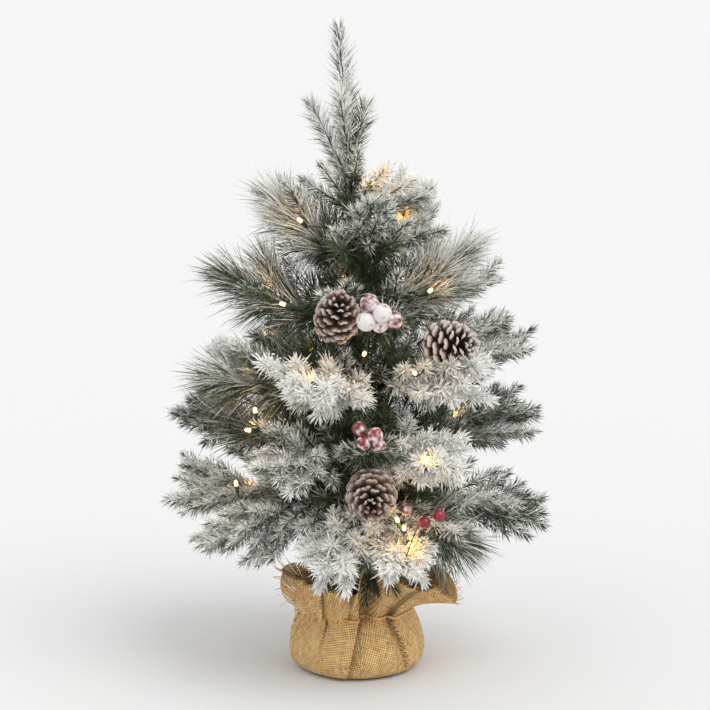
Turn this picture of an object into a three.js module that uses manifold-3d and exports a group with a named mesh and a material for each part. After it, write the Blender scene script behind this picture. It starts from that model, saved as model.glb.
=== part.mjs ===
// An artificial tabletop tree, 610 mm tall: a pole in a cement base wrapped in burlap, five tiers of
// bendable branches bound to the pole, a leader on top, pine cones, berry picks, and a battery box
// that feeds the lights. Millimetres, +Z up, the origin at the centre of the resting face.
// An azimuth is in degrees, anticlockwise seen from above: 0 is +X (right), 270 is -Y (the front).
import * as THREE from 'three';
import { mergeVertices } from 'three/addons/utils/BufferGeometryUtils.js';
import Module from 'manifold-3d';

const wasm = await Module();
wasm.setup();

// ---- driving dimensions -------------------------------------------------------------------
const GAP = 0.3;                 // between pieces that touch

const PAD = { radius: 50, height: 2 };
const WRAP = { sheet: 2, bottom: PAD.height + GAP, neckRadius: 52, neckHeight: 58, top: 97, sides: 32 };
const WEIGHT = { bottom: 4.6, belly: 58, bellyHeight: 24, shoulder: 40, top: 52, topRadius: 46 };
const SOCKET = { innerRadius: 6.3, outerRadius: 9, bottom: 9, floor: 3, top: 70 };
const POLE = { radius: 6, bottom: 12.3, top: 430 };
const TIE = { ringRadius: 54.4, cordRadius: 1.4 };
const BINDING = { radius: 11, height: 18, sides: 14 };

// The five tiers, from the bottom up. A branch is [azimuth, elevation, length, bow, twig pairs]:
// bow is how far the tip turns up (or down) from the straight line.
const TIERS = [
  { name: 'bottom', height: 171, branches: [
    [184, -2, 164, 0, 2], [214, -9, 158, -8, 2], [259, -18, 128, -6, 2], [290, -17, 132, -6, 2],
    [321, -13, 146, -8, 2], [353, -7, 166, -4, 2], [60, -2, 150, 0, 2], [122, -2, 150, 0, 2]] },
  { name: 'lower', height: 220, branches: [
    [171, 6, 164, 4, 2], [239, -4, 140, 4, 2], [276, 4, 118, 4, 2], [306, -2, 132, 2, 2],
    [12, 4, 162, 4, 2], [92, 4, 142, 4, 2]] },
  { name: 'middle', height: 274, branches: [
    [198, 4, 156, 0, 2], [254, 4, 132, 6, 2], [323, 8, 136, 10, 2], [4, 20, 146, 6, 2],
    [130, 8, 140, 8, 2]] },
  { name: 'upper', height: 328, branches: [
    [182, 21, 146, 4, 2], [285, 8, 98, 8, 1], [350, 35, 146, 6, 2], [92, 26, 112, 12, 2]] },
  { name: 'top', height: 388, branches: [
    [170, 37, 120, 6, 1], [288, 52, 84, 0, 1], [24, 46, 96, 0, 1]] },
];
const BRANCH = {
  pivotRadius: 11.5,             // where a branch leaves its binding, from the pole's axis
  sides: 5,
  // [share of the length, radius]: a rounded wire root, then the body of the needles
  outline: [[0.02, 1.3], [0.12, 1.3], [0.22, 3.4], [0.45, 5.4], [0.8, 4.6], [1, 1.0]],
  rootRadius: 0.6,
};
const TWIG = {
  sides: 4,
  firstAt: 0.38,                 // share of the branch's length where the first pair leaves
  pairStep: 0.27,
  spread: 32,                    // degrees to each side
  lift: 0.06,                    // rise for each unit of length
  firstLength: 0.36,             // share of the branch's length
  lengthStep: 0.07,
  outline: [[0.5, 4.0], [1, 0.8]],
  rootRadius: 3.6,
};

// The leader leans to the left and carries four upright twigs.
const LEADER = {
  base: POLE.top + GAP,
  knee: [-6, 0, 480],
  tip: [-17, 0, 610],
  twigs: [
    { from: [-8, 0, 466], to: [-45, 0, 541] },
    { from: [-6, 0, 478], to: [10, 0, 539] },
    { from: [-8, 0, 488], to: [-16, -30, 548] },
    { from: [-8, 0, 496], to: [-10, 28, 556] },
  ],
};

// Pine cones: centre, the way the top of the cone points, and the branch that carries it as
// [tier, branch number, share of the branch's length where its wire is wound on].
const CONE = { length: 42, radius: 22, frontLength: 40, frontRadius: 24, wireRadius: 0.9 };
const CONES = [
  { name: 'pine_cone_front_upper', centre: [-17, -100, 353], points: [0.1, -0.75, 0.65], on: [3, 2, 0.55] },
  { name: 'pine_cone_front_right', centre: [85, -80, 325], points: [0.75, -0.65, 0.1], on: [2, 3, 0.82] },
  { name: 'pine_cone_front_lower', centre: [13, -128, 196], points: [0, -1, -0.15], on: [1, 3, 0.7] },
  { name: 'pine_cone_back_lower', centre: [-14, 114, 263], points: [-0.2, 0.9, 0.3], on: [1, 6, 0.55] },
  { name: 'pine_cone_back_left', centre: [-74, 92, 256], points: [-0.6, 0.8, -0.1], on: [2, 5, 0.55] },
];

// Berry picks: berries as [offset from the pick's centre, radius], joined at a short wire stem.
const LARGE_PICK = [
  [[-7, 1, 11], 8.5], [[4, -2, 3], 8.5], [[-10, -1, -4.5], 8.5], [[2, 4, -7], 8], [[14, 1, -3.5], 8]];
const SMALL_PICK = [
  [[-8, 1, 7], 6.5], [[-4, -1, -5], 6.5], [[6, -2, 2], 7], [[8.5, 1, -7.5], 6.5]];
const LOOSE_PICK = [[[-15, 0, 6], 5.5], [[1, -2, -6], 5.5], [[14, 0, 0], 5.5]];
const PICKS = [
  { name: 'berry_pick_front_upper', centre: [18, -129, 357], berries: LARGE_PICK, on: [3, 2, 0.9] },
  { name: 'berry_pick_front_middle', centre: [10, -134, 251], berries: SMALL_PICK, on: [1, 3, 0.9] },
  { name: 'berry_pick_front_lower', centre: [59, -126, 178], berries: LOOSE_PICK, on: [0, 4, 0.9] },
  { name: 'berry_pick_back', centre: [30, 100, 341], berries: SMALL_PICK, on: [3, 4, 0.8] },
];
const PICK = { stemRadius: 3, wireRadius: 0.9 };
const WIRE_END_CLEARANCE = 7;    // a wire ends this far from the middle of the branch that it is wound on

// The battery box hangs behind the pole. Its rear wall is a sliding cover.
const CASE = { low: [-38, 10, 105], high: [38, 31, 154], wall: 2, partition: [25, 26.4] };
const COVER = { back: 29.4, front: 27.6, lip: 1.4, overlap: 1.2 };
const CELL = { radius: 7, length: 50, nubRadius: 2.7, nubLength: 1.2, start: -31.6, depth: 19.8 };
const CELL_HEIGHTS = [9.4, 24.5, 39.6].map((above) => CASE.low[2] + above);
const CONTACT = { thickness: 0.6, bumpRadius: 3.4 };
const SWITCH = { depth: [17.4, 21.6], height: [127, 132], travel: 3, knob: 2 };
const CLIP = { height: [124, 136], halfWidth: 9, boreRadius: POLE.radius + GAP };

// The lead from the battery box climbs the pole beside the bindings, clear of every branch root.
// After its first points, a point is [azimuth, height] at LEAD.climbRadius from the pole's axis.
const LEAD = {
  radius: 1,
  sides: 8,
  steps: 44,
  climbRadius: 12.9,
  start: [[20, 20, CASE.high[2] + GAP], [20, 20, CASE.high[2] + 3.5]],
  climb: [[80, 167], [86, 182], [62, 202], [50, 213], [50, 227], [75, 248], [90, 266], [90, 283],
    [62, 305], [45, 321], [45, 336], [75, 359], [100, 379], [100, 399]],
};

// ---- materials ----------------------------------------------------------------------------
const material = (color, roughness, metalness = 0) =>
  new THREE.MeshStandardMaterial({ color, roughness, metalness });
const FELT = material(0x3d4a34, 0.95);
const CEMENT = material(0x9a968d, 0.9);
const BURLAP = material(0xb8925c, 0.95);
const TWINE = material(0x8a6a3c, 0.9);
const BROWN_STEEL = material(0x3a3226, 0.55, 0.4);
const GREEN_TAPE = material(0x22301f, 0.7);
const NEEDLES = material(0x5d6b52, 0.8);
const FROSTED_NEEDLES = material(0xaab0a2, 0.85);
const CONE_WOOD = material(0x6b5a4d, 0.8);
const BERRY_RED = material(0x9c2b30, 0.35);
const CASE_PLASTIC = material(0x24372a, 0.5);
const GREEN_WIRE = material(0x2b3b26, 0.45);
const STEEL = material(0xb9bcc0, 0.3, 0.9);
const CELL_FOIL = material(0x8f9398, 0.35, 0.6);
const BOARD = material(0x2f6b45, 0.6);
const BLACK_PLASTIC = material(0x1b1c1d, 0.5);

// ---- solids: three.js geometries, joined and cut ------------------------------------------
function solid(geometry) {
  const bare = geometry.clone();
  for (const name of ['normal', 'uv']) bare.deleteAttribute(name);
  const merged = mergeVertices(bare, 1e-4);
  return new wasm.Manifold(new wasm.Mesh({
    numProp: 3,
    vertProperties: new Float32Array(merged.attributes.position.array),
    triVerts: new Uint32Array(merged.index.array),
  }));
}

function geometryOf(manifold) {
  const mesh = manifold.getMesh();
  const geometry = new THREE.BufferGeometry();
  geometry.setAttribute('position', new THREE.BufferAttribute(mesh.vertProperties, 3));
  geometry.setIndex(new THREE.BufferAttribute(mesh.triVerts, 1));
  geometry.computeVertexNormals();
  return geometry;
}

function joined(geometries) {
  return geometries.map(solid).reduce((whole, piece) => whole.add(piece));
}

function boxBetween(low, high) {
  const size = high.map((value, i) => value - low[i]);
  const middle = high.map((value, i) => (value + low[i]) / 2);
  return new THREE.BoxGeometry(...size).translate(...middle);
}

// A solid of revolution about Z from [radius, height] points that start and end on the axis.
function turned(profile, sides) {
  const points = profile.map(([radius, height]) => new THREE.Vector2(radius, height));
  return new THREE.LatheGeometry(points, sides).rotateX(Math.PI / 2);
}

// A tapered body along +X from [share of the length, radius] points, bent by bow at its tip.
function spindle(length, outline, startRadius, sides, bow = 0) {
  const profile = [[0, 0], [startRadius, 0]];
  for (const [share, radius] of outline) profile.push([radius, share * length]);
  profile.push([0, length]);
  const geometry = turned(profile, sides).rotateY(Math.PI / 2);
  const position = geometry.attributes.position;
  for (let i = 0; i < position.count; i += 1) {
    const share = position.getX(i) / length;
    position.setZ(i, position.getZ(i) + bow * share * share);
  }
  return geometry;
}

// Turns a geometry that runs along +X so that it runs from one point towards another.
function aimed(geometry, from, to) {
  const start = new THREE.Vector3(...from);
  const way = new THREE.Vector3(...to).sub(start).normalize();
  const turn = new THREE.Quaternion().setFromUnitVectors(new THREE.Vector3(1, 0, 0), way);
  return geometry.applyQuaternion(turn).translate(...start.toArray());
}

const distance = (from, to) => new THREE.Vector3(...from).distanceTo(new THREE.Vector3(...to));

function aroundPole(azimuth, radius, height) {
  const angle = THREE.MathUtils.degToRad(azimuth);
  return [radius * Math.cos(angle), radius * Math.sin(angle), height];
}

// ---- the tree -----------------------------------------------------------------------------
const tree = new THREE.Group();

function place(name, geometry, finish) {
  const mesh = new THREE.Mesh(geometry, finish);
  mesh.name = name;
  tree.add(mesh);
  return mesh;
}

// ---- base ---------------------------------------------------------------------------------
function footPad() {
  const { radius, height } = PAD;
  return turned([[0, 0], [radius, 0], [radius, height], [0, height]], 32);
}

function baseWeight() {
  const { bottom, belly, bellyHeight, shoulder, top, topRadius } = WEIGHT;
  const boreRadius = SOCKET.outerRadius + GAP;
  const boreFloor = SOCKET.bottom - GAP;
  return turned([
    [0, bottom], [belly - 8, bottom], [belly - 2, 11], [belly, bellyHeight], [belly - 3, shoulder],
    [topRadius, top], [boreRadius, top], [boreRadius, boreFloor], [0, boreFloor],
  ], 28);
}

function baseSocket() {
  const { innerRadius, outerRadius, bottom, floor, top } = SOCKET;
  return turned([
    [0, bottom], [outerRadius, bottom], [outerRadius, top], [innerRadius, top],
    [innerRadius, bottom + floor], [0, bottom + floor],
  ], 20);
}

function trunkPole() {
  const { radius, bottom, top } = POLE;
  return turned([[0, bottom], [radius, bottom], [radius, top], [0, top]], 16);
}

// The cloth bag: round below, drawn in at the neck, and flaring above it in a ruffle that reaches
// furthest to the front right.
function burlapWrap() {
  const { bottom, sheet, neckRadius, neckHeight, top, sides } = WRAP;
  const inside = bottom + sheet;
  const outline = [
    [0, bottom], [52, bottom], [61.5, 7.5], [65.5, 19], [63.5, 33], [57, 50], [neckRadius, neckHeight],
    [55, 67], [61, 81], [67, top],
  ];
  const lining = [
    [65, top + 1], [59, 83], [53, 69], [neckRadius - sheet, neckHeight + 1], [54.7, 51], [61.2, 34],
    [63, 19], [59.4, 9], [51, inside], [0, inside],
  ];
  const geometry = turned([...outline, ...lining], sides);
  const position = geometry.attributes.position;
  for (let i = 0; i < position.count; i += 1) {
    const rise = (position.getZ(i) - neckHeight - sheet) / (top - neckHeight);
    if (rise > 0) {
      const angle = Math.atan2(position.getY(i), position.getX(i));
      const reach = 1 + rise * (0.15 + 0.22 * Math.cos(angle + 0.5) + 0.04 * Math.cos(5 * angle));
      position.setX(i, position.getX(i) * reach);
      position.setY(i, position.getY(i) * reach);
      position.setZ(i, position.getZ(i) + rise * (2 * Math.cos(4 * angle) - 4 * Math.cos(angle + 0.5)));
    }
  }
  return geometry;
}

function neckTie() {
  return new THREE.TorusGeometry(TIE.ringRadius, TIE.cordRadius, 5, 28).translate(0, 0, WRAP.neckHeight);
}

// ---- tiers --------------------------------------------------------------------------------
function tierBinding(height) {
  const { radius, height: tall, sides } = BINDING;
  const inner = POLE.radius + GAP;
  return turned([
    [inner, -tall / 2], [radius - 2, -tall / 2], [radius, -tall / 4], [radius, tall / 4],
    [radius - 2, tall / 2], [inner, tall / 2], [inner, -tall / 2],
  ], sides).translate(0, 0, height);
}

// One branch in its own frame: it leaves the pivot at the origin along +X.
function branchBody(length, bow, pairs) {
  const parts = [spindle(length, BRANCH.outline, BRANCH.rootRadius, BRANCH.sides, bow)];
  for (let pair = 0; pair < pairs; pair += 1) {
    const share = TWIG.firstAt + TWIG.pairStep * pair;
    const twigLength = length * (TWIG.firstLength - TWIG.lengthStep * pair);
    const from = [share * length, 0, bow * share * share];
    for (const side of [-1, 1]) {
      const angle = THREE.MathUtils.degToRad(TWIG.spread * side);
      const to = [from[0] + Math.cos(angle), from[1] + Math.sin(angle), from[2] + TWIG.lift];
      parts.push(aimed(spindle(twigLength, TWIG.outline, TWIG.rootRadius, TWIG.sides), from, to));
    }
  }
  return geometryOf(joined(parts));
}

function leader() {
  const { base, knee, tip, twigs } = LEADER;
  const foot = [0, 0, base];
  const shaft = [[0.4, 2.4], [0.7, 4], [1, 4.2]];
  const crown = [[0.3, 5.6], [0.8, 4.6], [1, 0.8]];
  const parts = [
    aimed(spindle(distance(foot, knee) + 2, shaft, 2.4, BRANCH.sides), foot, knee),
    aimed(spindle(distance(knee, tip), crown, 4.2, BRANCH.sides), knee, tip),
  ];
  for (const { from, to } of twigs) {
    parts.push(aimed(spindle(distance(from, to), TWIG.outline, TWIG.rootRadius, TWIG.sides), from, to));
  }
  return geometryOf(joined(parts));
}

// ---- trimmings ----------------------------------------------------------------------------
// The point on a branch's middle line at a share of its length: on is [tier, branch number, share].
function branchPoint([tier, number, share]) {
  const [azimuth, elevation, length, bow] = TIERS[tier].branches[number - 1];
  const turn = new THREE.Euler(
    0, THREE.MathUtils.degToRad(-elevation), THREE.MathUtils.degToRad(azimuth), 'ZYX');
  const pivot = new THREE.Vector3(...aroundPole(azimuth, BRANCH.pivotRadius, TIERS[tier].height));
  return new THREE.Vector3(share * length, 0, bow * share * share).applyEuler(turn).add(pivot).toArray();
}

// The wire that fastens a trimming: from inside the trimming to just short of its branch.
function fasteningWire(from, on, radius) {
  const to = branchPoint(on);
  const length = distance(from, to) - WIRE_END_CLEARANCE;
  return aimed(spindle(length, [[1, radius]], radius, 5), from, to);
}

function pineCone({ name, centre, points, on }) {
  const front = name === 'pine_cone_front_lower';
  const length = front ? CONE.frontLength : CONE.length;
  const radius = front ? CONE.frontRadius : CONE.radius;
  const outline = [[0.1, radius * 0.8], [0.3, radius], [0.55, radius * 0.86], [0.85, radius * 0.45], [1, 1.5]];
  const body = spindle(length, outline, radius * 0.35, 10).translate(-length / 2, 0, 0);
  const target = centre.map((value, i) => value + points[i]);
  const wire = fasteningWire(centre, on, CONE.wireRadius);
  return geometryOf(joined([aimed(body, centre, target), wire]));
}

function berryPick({ centre, berries, on }) {
  const parts = berries.map(([offset, radius]) =>
    new THREE.IcosahedronGeometry(radius, 1).translate(...offset));
  for (const [offset] of berries) {
    const away = distance([0, 0, 0], offset);
    const stem = spindle(away, [[1, PICK.stemRadius]], PICK.stemRadius, 4);
    parts.push(aimed(stem, [0, 0, 0], offset));
  }
  const placed = parts.map((part) => part.translate(...centre));
  return geometryOf(joined([...placed, fasteningWire(centre, on, PICK.wireRadius)]));
}

// ---- battery box --------------------------------------------------------------------------
function batteryCase() {
  const { low, high, wall, partition } = CASE;
  const inner = low.map((value) => value + wall);
  const innerHigh = high.map((value) => value - wall);
  const groove = COVER.overlap;
  const cavity = boxBetween(inner, [innerHigh[0], COVER.front - GAP, innerHigh[2]]);
  const track = boxBetween(
    [inner[0], COVER.front - GAP - 0.1, inner[2] - groove],
    [high[0] + 1, COVER.back + GAP, innerHigh[2] + groove],
  );
  const window = boxBetween(
    [inner[0] + COVER.lip, COVER.back, inner[2] + COVER.lip],
    [high[0] + 1, high[1] + 1, innerHigh[2] - COVER.lip],
  );
  const slot = boxBetween(
    [innerHigh[0] - 1, SWITCH.depth[0] - GAP, SWITCH.height[0] - SWITCH.travel - 1],
    [high[0] + 1, SWITCH.depth[1] + GAP, SWITCH.height[1] + SWITCH.travel + 1],
  );
  const divider = boxBetween(
    [partition[0], low[1] + 1, low[2] + 1],
    [partition[1], COVER.front - 1, high[2] - 1],
  );
  return geometryOf(solid(boxBetween(low, high))
    .subtract(solid(cavity))
    .subtract(solid(track))
    .subtract(solid(window))
    .subtract(solid(slot))
    .add(solid(divider)));
}

function batteryCover() {
  const { low, high, wall } = CASE;
  const groove = COVER.overlap - GAP;
  const plate = boxBetween(
    [low[0] + wall + GAP, COVER.front, low[2] + wall - groove],
    [high[0] - GAP, COVER.back, high[2] - wall + groove],
  );
  const ribs = [0, 5, 10].map((shift) => boxBetween(
    [18 + shift, COVER.back - 0.5, low[2] + 14],
    [20 + shift, COVER.back + 1.2, high[2] - 14],
  ));
  return geometryOf(joined([plate, ...ribs]));
}

function cell(height, flipped) {
  const { radius, length, nubRadius, nubLength, start, depth } = CELL;
  const body = turned([
    [0, 0], [radius - 0.6, 0], [radius, 0.8], [radius, length - nubLength - 0.8],
    [radius - 0.6, length - nubLength], [nubRadius, length - nubLength], [nubRadius, length], [0, length],
  ], 16).rotateY(Math.PI / 2);
  if (flipped) body.rotateZ(Math.PI).translate(length, 0, 0);
  return body.translate(start, depth, height);
}

// A sprung contact plate: its bumps press on the ends of the three cells.
function contactPlate(outside, inside) {
  const direction = Math.sign(inside - outside);
  const face = outside + direction * CONTACT.thickness;
  const [low, high] = [Math.min(outside, face), Math.max(outside, face)];
  const plate = boxBetween([low, 14, CASE.low[2] + 4], [high, 26, CASE.high[2] - 4]);
  const bumps = CELL_HEIGHTS.map((height) => aimed(
    spindle(Math.abs(inside - outside) - GAP, [[1, 1.6]], CONTACT.bumpRadius, 8),
    [outside + direction * 0.1, CELL.depth, height],
    [inside, CELL.depth, height],
  ));
  return geometryOf(joined([plate, ...bumps]));
}

function circuitBoard() {
  const bottom = CASE.low[2];
  const board = boxBetween([28, 13, bottom + 4], [29.6, 26.5, bottom + 45]);
  const switchBody = boxBetween([29.2, 14, bottom + 14], [34.2, 25, bottom + 35]);
  return geometryOf(joined([board, switchBody]));
}

function switchSlider() {
  const { depth, height, knob } = SWITCH;
  const stem = boxBetween([34.5, depth[0], height[0]], [38.5, depth[1], height[1]]);
  const cap = boxBetween(
    [CASE.high[0] + GAP, depth[0] - 1, height[0] - 0.6],
    [CASE.high[0] + GAP + knob, depth[1] + 1, height[1] + 0.6],
  );
  return geometryOf(joined([stem, cap]));
}

function poleClip() {
  const { height, halfWidth, boreRadius } = CLIP;
  const body = boxBetween([-halfWidth, -8.5, height[0]], [halfWidth, CASE.low[1] - GAP, height[1]]);
  const bore = turned([
    [0, height[0] - 1], [boreRadius, height[0] - 1], [boreRadius, height[1] + 1], [0, height[1] + 1],
  ], 16);
  return geometryOf(solid(body).subtract(solid(bore)));
}

function lightLead() {
  const points = [...LEAD.start, ...LEAD.climb.map(([azimuth, height]) =>
    aroundPole(azimuth, LEAD.climbRadius, height))];
  const route = new THREE.CatmullRomCurve3(points.map((point) => new THREE.Vector3(...point)));
  const section = new THREE.Shape();
  for (let i = 0; i <= LEAD.sides; i += 1) {
    const angle = (2 * Math.PI * i) / LEAD.sides;
    const corner = [LEAD.radius * Math.cos(angle), LEAD.radius * Math.sin(angle)];
    if (i === 0) section.moveTo(...corner);
    else section.lineTo(...corner);
  }
  return new THREE.ExtrudeGeometry(section, { steps: LEAD.steps, extrudePath: route });
}

// ---- assembly -----------------------------------------------------------------------------
place('foot_pad', footPad(), FELT);
place('base_weight', baseWeight(), CEMENT);
place('base_socket', baseSocket(), BLACK_PLASTIC);
place('trunk_pole', trunkPole(), BROWN_STEEL);
place('burlap_wrap', burlapWrap(), BURLAP);
place('neck_tie', neckTie(), TWINE);

for (const { name, height, branches } of TIERS) {
  place(`${name}_tier_binding`, tierBinding(height), GREEN_TAPE);
  branches.forEach(([azimuth, elevation, length, bow, pairs], i) => {
    const mesh = place(`${name}_branch_${i + 1}`, branchBody(length, bow, pairs), NEEDLES);
    mesh.position.set(...aroundPole(azimuth, BRANCH.pivotRadius, height));
    mesh.rotation.set(0, THREE.MathUtils.degToRad(-elevation), THREE.MathUtils.degToRad(azimuth), 'ZYX');
  });
}
place('leader', leader(), FROSTED_NEEDLES);

for (const cone of CONES) place(cone.name, pineCone(cone), CONE_WOOD);
for (const pick of PICKS) place(pick.name, berryPick(pick), BERRY_RED);

place('battery_case', batteryCase(), CASE_PLASTIC);
place('battery_cover', batteryCover(), CASE_PLASTIC);
CELL_HEIGHTS.forEach((height, i) => place(`battery_cell_${i + 1}`, cell(height, i === 1), CELL_FOIL));
place('contact_plate_left', contactPlate(CASE.low[0] + CASE.wall + GAP, CELL.start), STEEL);
place('contact_plate_right', contactPlate(CASE.partition[0] - GAP, CELL.start + CELL.length), STEEL);
place('circuit_board', circuitBoard(), BOARD);
place('switch_slider', switchSlider(), BLACK_PLASTIC);
place('pole_clip', poleClip(), CASE_PLASTIC);
place('light_lead', lightLead(), GREEN_WIRE);

export default tree;
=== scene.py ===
"""The looks of the artificial tabletop tree: frosted foliage, cones, berries, lit lamps and a burlap wrap."""
import math
from collections import namedtuple

import bmesh
import bpy
import numpy as np
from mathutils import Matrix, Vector, noise


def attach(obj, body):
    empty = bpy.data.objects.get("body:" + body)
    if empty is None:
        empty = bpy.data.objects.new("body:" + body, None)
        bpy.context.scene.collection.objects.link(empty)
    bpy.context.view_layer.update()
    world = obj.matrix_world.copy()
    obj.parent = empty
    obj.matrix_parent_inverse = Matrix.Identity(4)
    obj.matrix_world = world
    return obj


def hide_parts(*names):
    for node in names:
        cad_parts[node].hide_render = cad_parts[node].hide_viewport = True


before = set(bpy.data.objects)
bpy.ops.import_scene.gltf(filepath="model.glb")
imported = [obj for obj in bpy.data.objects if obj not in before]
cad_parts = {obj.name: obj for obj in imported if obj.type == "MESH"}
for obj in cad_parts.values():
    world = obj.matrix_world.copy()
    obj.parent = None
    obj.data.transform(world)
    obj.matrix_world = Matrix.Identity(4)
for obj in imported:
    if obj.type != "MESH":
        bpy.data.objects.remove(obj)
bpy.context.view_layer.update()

MM = 0.001
SEED = 2461
GOLDEN_ANGLE = math.pi * (3 - math.sqrt(5))
UP = np.array([0, 0, 1.0])

# ---- the tree's plan, as in the CAD model ----------------------------------------------------
# Tiers from the bottom up: name, height, branches as (azimuth, elevation, length, bow, kind),
# in degrees and millimetres.
TIERS = [
    ("bottom", 171, [
        (184, -2, 164, 0, "frost"), (214, -9, 158, -8, "frost"), (259, -18, 128, -6, "flock"),
        (290, -17, 132, -6, "flock"), (321, -13, 146, -8, "plume"), (353, -7, 166, -4, "green"),
        (60, -2, 150, 0, "frost"), (122, -2, 150, 0, "flock")]),
    ("lower", 220, [
        (171, 6, 164, 4, "green"), (239, -4, 140, 4, "frost"), (276, 4, 118, 4, "green"),
        (306, -2, 132, 2, "flock"), (12, 4, 162, 4, "green"), (92, 4, 142, 4, "plume")]),
    ("middle", 274, [
        (198, 4, 156, 0, "plume"), (254, 4, 132, 6, "flock"), (323, 8, 136, 10, "flock"),
        (4, 20, 146, 6, "frost"), (130, 8, 140, 8, "green")]),
    ("upper", 328, [
        (182, 21, 146, 4, "plume"), (285, 8, 98, 8, "green"), (350, 35, 146, 6, "white_plume"),
        (92, 26, 112, 12, "frost")]),
    ("top", 388, [
        (170, 37, 120, 6, "white_plume"), (288, 52, 84, 0, "frost"), (24, 46, 96, 0, "flock")]),
]
PIVOT_RADIUS = 11.5

# How each kind of foliage grows: needle length and width in mm, needles per mm of stem, the angle
# between needle and stem, how far a needle sags, how unevenly it curls, how much flock it carries
# from root to tip, and clumps of flock per mm of stem.
Kind = namedtuple("Kind", "length width density lean sag curl snow lumps")
KINDS = {
    "green": Kind(15, 1.15, 3.2, 48, 0.5, 0.05, (0.05, 0.36), 0.04),
    "frost": Kind(14, 1.2, 3.2, 46, 0.4, 0.06, (0.35, 0.66), 0.18),
    "flock": Kind(13.5, 1.2, 3.7, 50, 0.4, 0.17, (0.74, 1.15), 0.6),
    "crown": Kind(22, 1.25, 3.4, 46, 0.2, 0.04, (0.50, 0.70), 0.03),
    "plume": Kind(46, 0.85, 1.8, 25, 4.0, 0.04, (0.15, 0.40), 0.03),
    "white_plume": Kind(46, 0.85, 1.8, 25, 4.0, 0.04, (0.42, 0.72), 0.03),
    "trunk": Kind(32, 1.1, 4.5, 62, 2.0, 0.06, (0.0, 0.06), 0.0),
    "inner": Kind(24, 1.1, 3.0, 58, 1.0, 0.05, (0.0, 0.10), 0.0),
}
PLUMES = ("plume", "white_plume")


def unit(v):
    v = np.asarray(v, float)
    return v / np.linalg.norm(v, axis=-1, keepdims=True)


def linked(name, data):
    thing = bpy.data.objects.new(name, data)
    bpy.context.scene.collection.objects.link(thing)
    return thing


# ---- meshes ----------------------------------------------------------------------------------
def finished(piece, body, slot, *nodes):
    """A piece that rides on a body and stands for the CAD nodes named, which it hides; slot is not used."""
    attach(piece, body)
    if nodes:
        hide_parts(*nodes)
    return piece


class Pile:
    """Closed pieces piled into one mesh, with two numbers for each point: snow and tone."""

    def __init__(self):
        self.points, self.faces, self.snow, self.tone = [], [], [], []
        self.count = 0

    def add(self, points, faces, snow, tone):
        self.points.append(np.asarray(points, np.float32))
        self.faces.append(np.asarray(faces, np.int64) + self.count)
        self.snow.append(np.broadcast_to(np.asarray(snow, np.float32), len(points)))
        self.tone.append(np.broadcast_to(np.asarray(tone, np.float32), len(points)))
        self.count += len(points)

    def add_many(self, points, faces, snow, tone):
        """points is (pieces, points of one piece, 3); faces are those of one piece."""
        pieces, size = points.shape[:2]
        offsets = (np.arange(pieces) * size)[:, None, None]
        all_faces = (np.asarray(faces)[None] + offsets).reshape(-1, 3)
        self.add(points.reshape(-1, 3), all_faces, snow.reshape(-1), tone.reshape(-1))

    def build(self, name, material, body, slot, *nodes, smooth=True):
        points = np.concatenate(self.points) * MM
        faces = np.concatenate(self.faces)
        mesh = bpy.data.meshes.new(name)
        mesh.vertices.add(len(points))
        mesh.vertices.foreach_set("co", points.astype(np.float32).ravel())
        mesh.loops.add(faces.size)
        mesh.loops.foreach_set("vertex_index", faces.astype(np.int32).ravel())
        mesh.polygons.add(len(faces))
        mesh.polygons.foreach_set("loop_start", np.arange(0, faces.size, 3, dtype=np.int32))
        mesh.update(calc_edges=True)
        for label, values in (("snow", self.snow), ("tone", self.tone)):
            layer = mesh.attributes.new(label, "FLOAT", "POINT")
            layer.data.foreach_set("value", np.concatenate(values))
        mesh.polygons.foreach_set("use_smooth", np.full(len(faces), smooth))
        mesh.materials.append(material)
        return finished(linked(name, mesh), body, slot, *nodes)


def across(direction):
    """Two unit vectors square to each direction and to each other."""
    direction = np.atleast_2d(direction)
    helper = np.where(np.abs(direction[:, 2:3]) < 0.9, [[0, 0, 1.0]], [[1.0, 0, 0]])
    first = unit(np.cross(direction, helper))
    return first, np.cross(direction, first)


def ring_faces(rings, sides):
    """The triangles of a closed tube of rings whose two end points come last."""
    faces = []
    for k in range(rings - 1):
        for i in range(sides):
            j = (i + 1) % sides
            a, b, c, d = k * sides + i, k * sides + j, (k + 1) * sides + j, (k + 1) * sides + i
            faces += [(a, b, c), (a, c, d)]
    start, end, last = rings * sides, rings * sides + 1, (rings - 1) * sides
    for i in range(sides):
        j = (i + 1) % sides
        faces += [(start, j, i), (end, last + i, last + j)]
    return faces


def tube(pile, path, radii, sides, snow, tone):
    """A closed tube along a path."""
    path = np.asarray(path, float)
    along = unit(np.gradient(path, axis=0))
    u = across(along[:1])[0][0]
    turn = (np.arange(sides) * 2 * math.pi / sides)[:, None]
    rings = []
    for centre, way, radius in zip(path, along, np.broadcast_to(radii, len(path))):
        u = unit(u - way * np.dot(u, way))
        rings.append(centre + radius * (np.cos(turn) * u + np.sin(turn) * np.cross(way, u)))
    pile.add(np.vstack(rings + [path[:1], path[-1:]]), ring_faces(len(path), sides), snow, tone)


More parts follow.
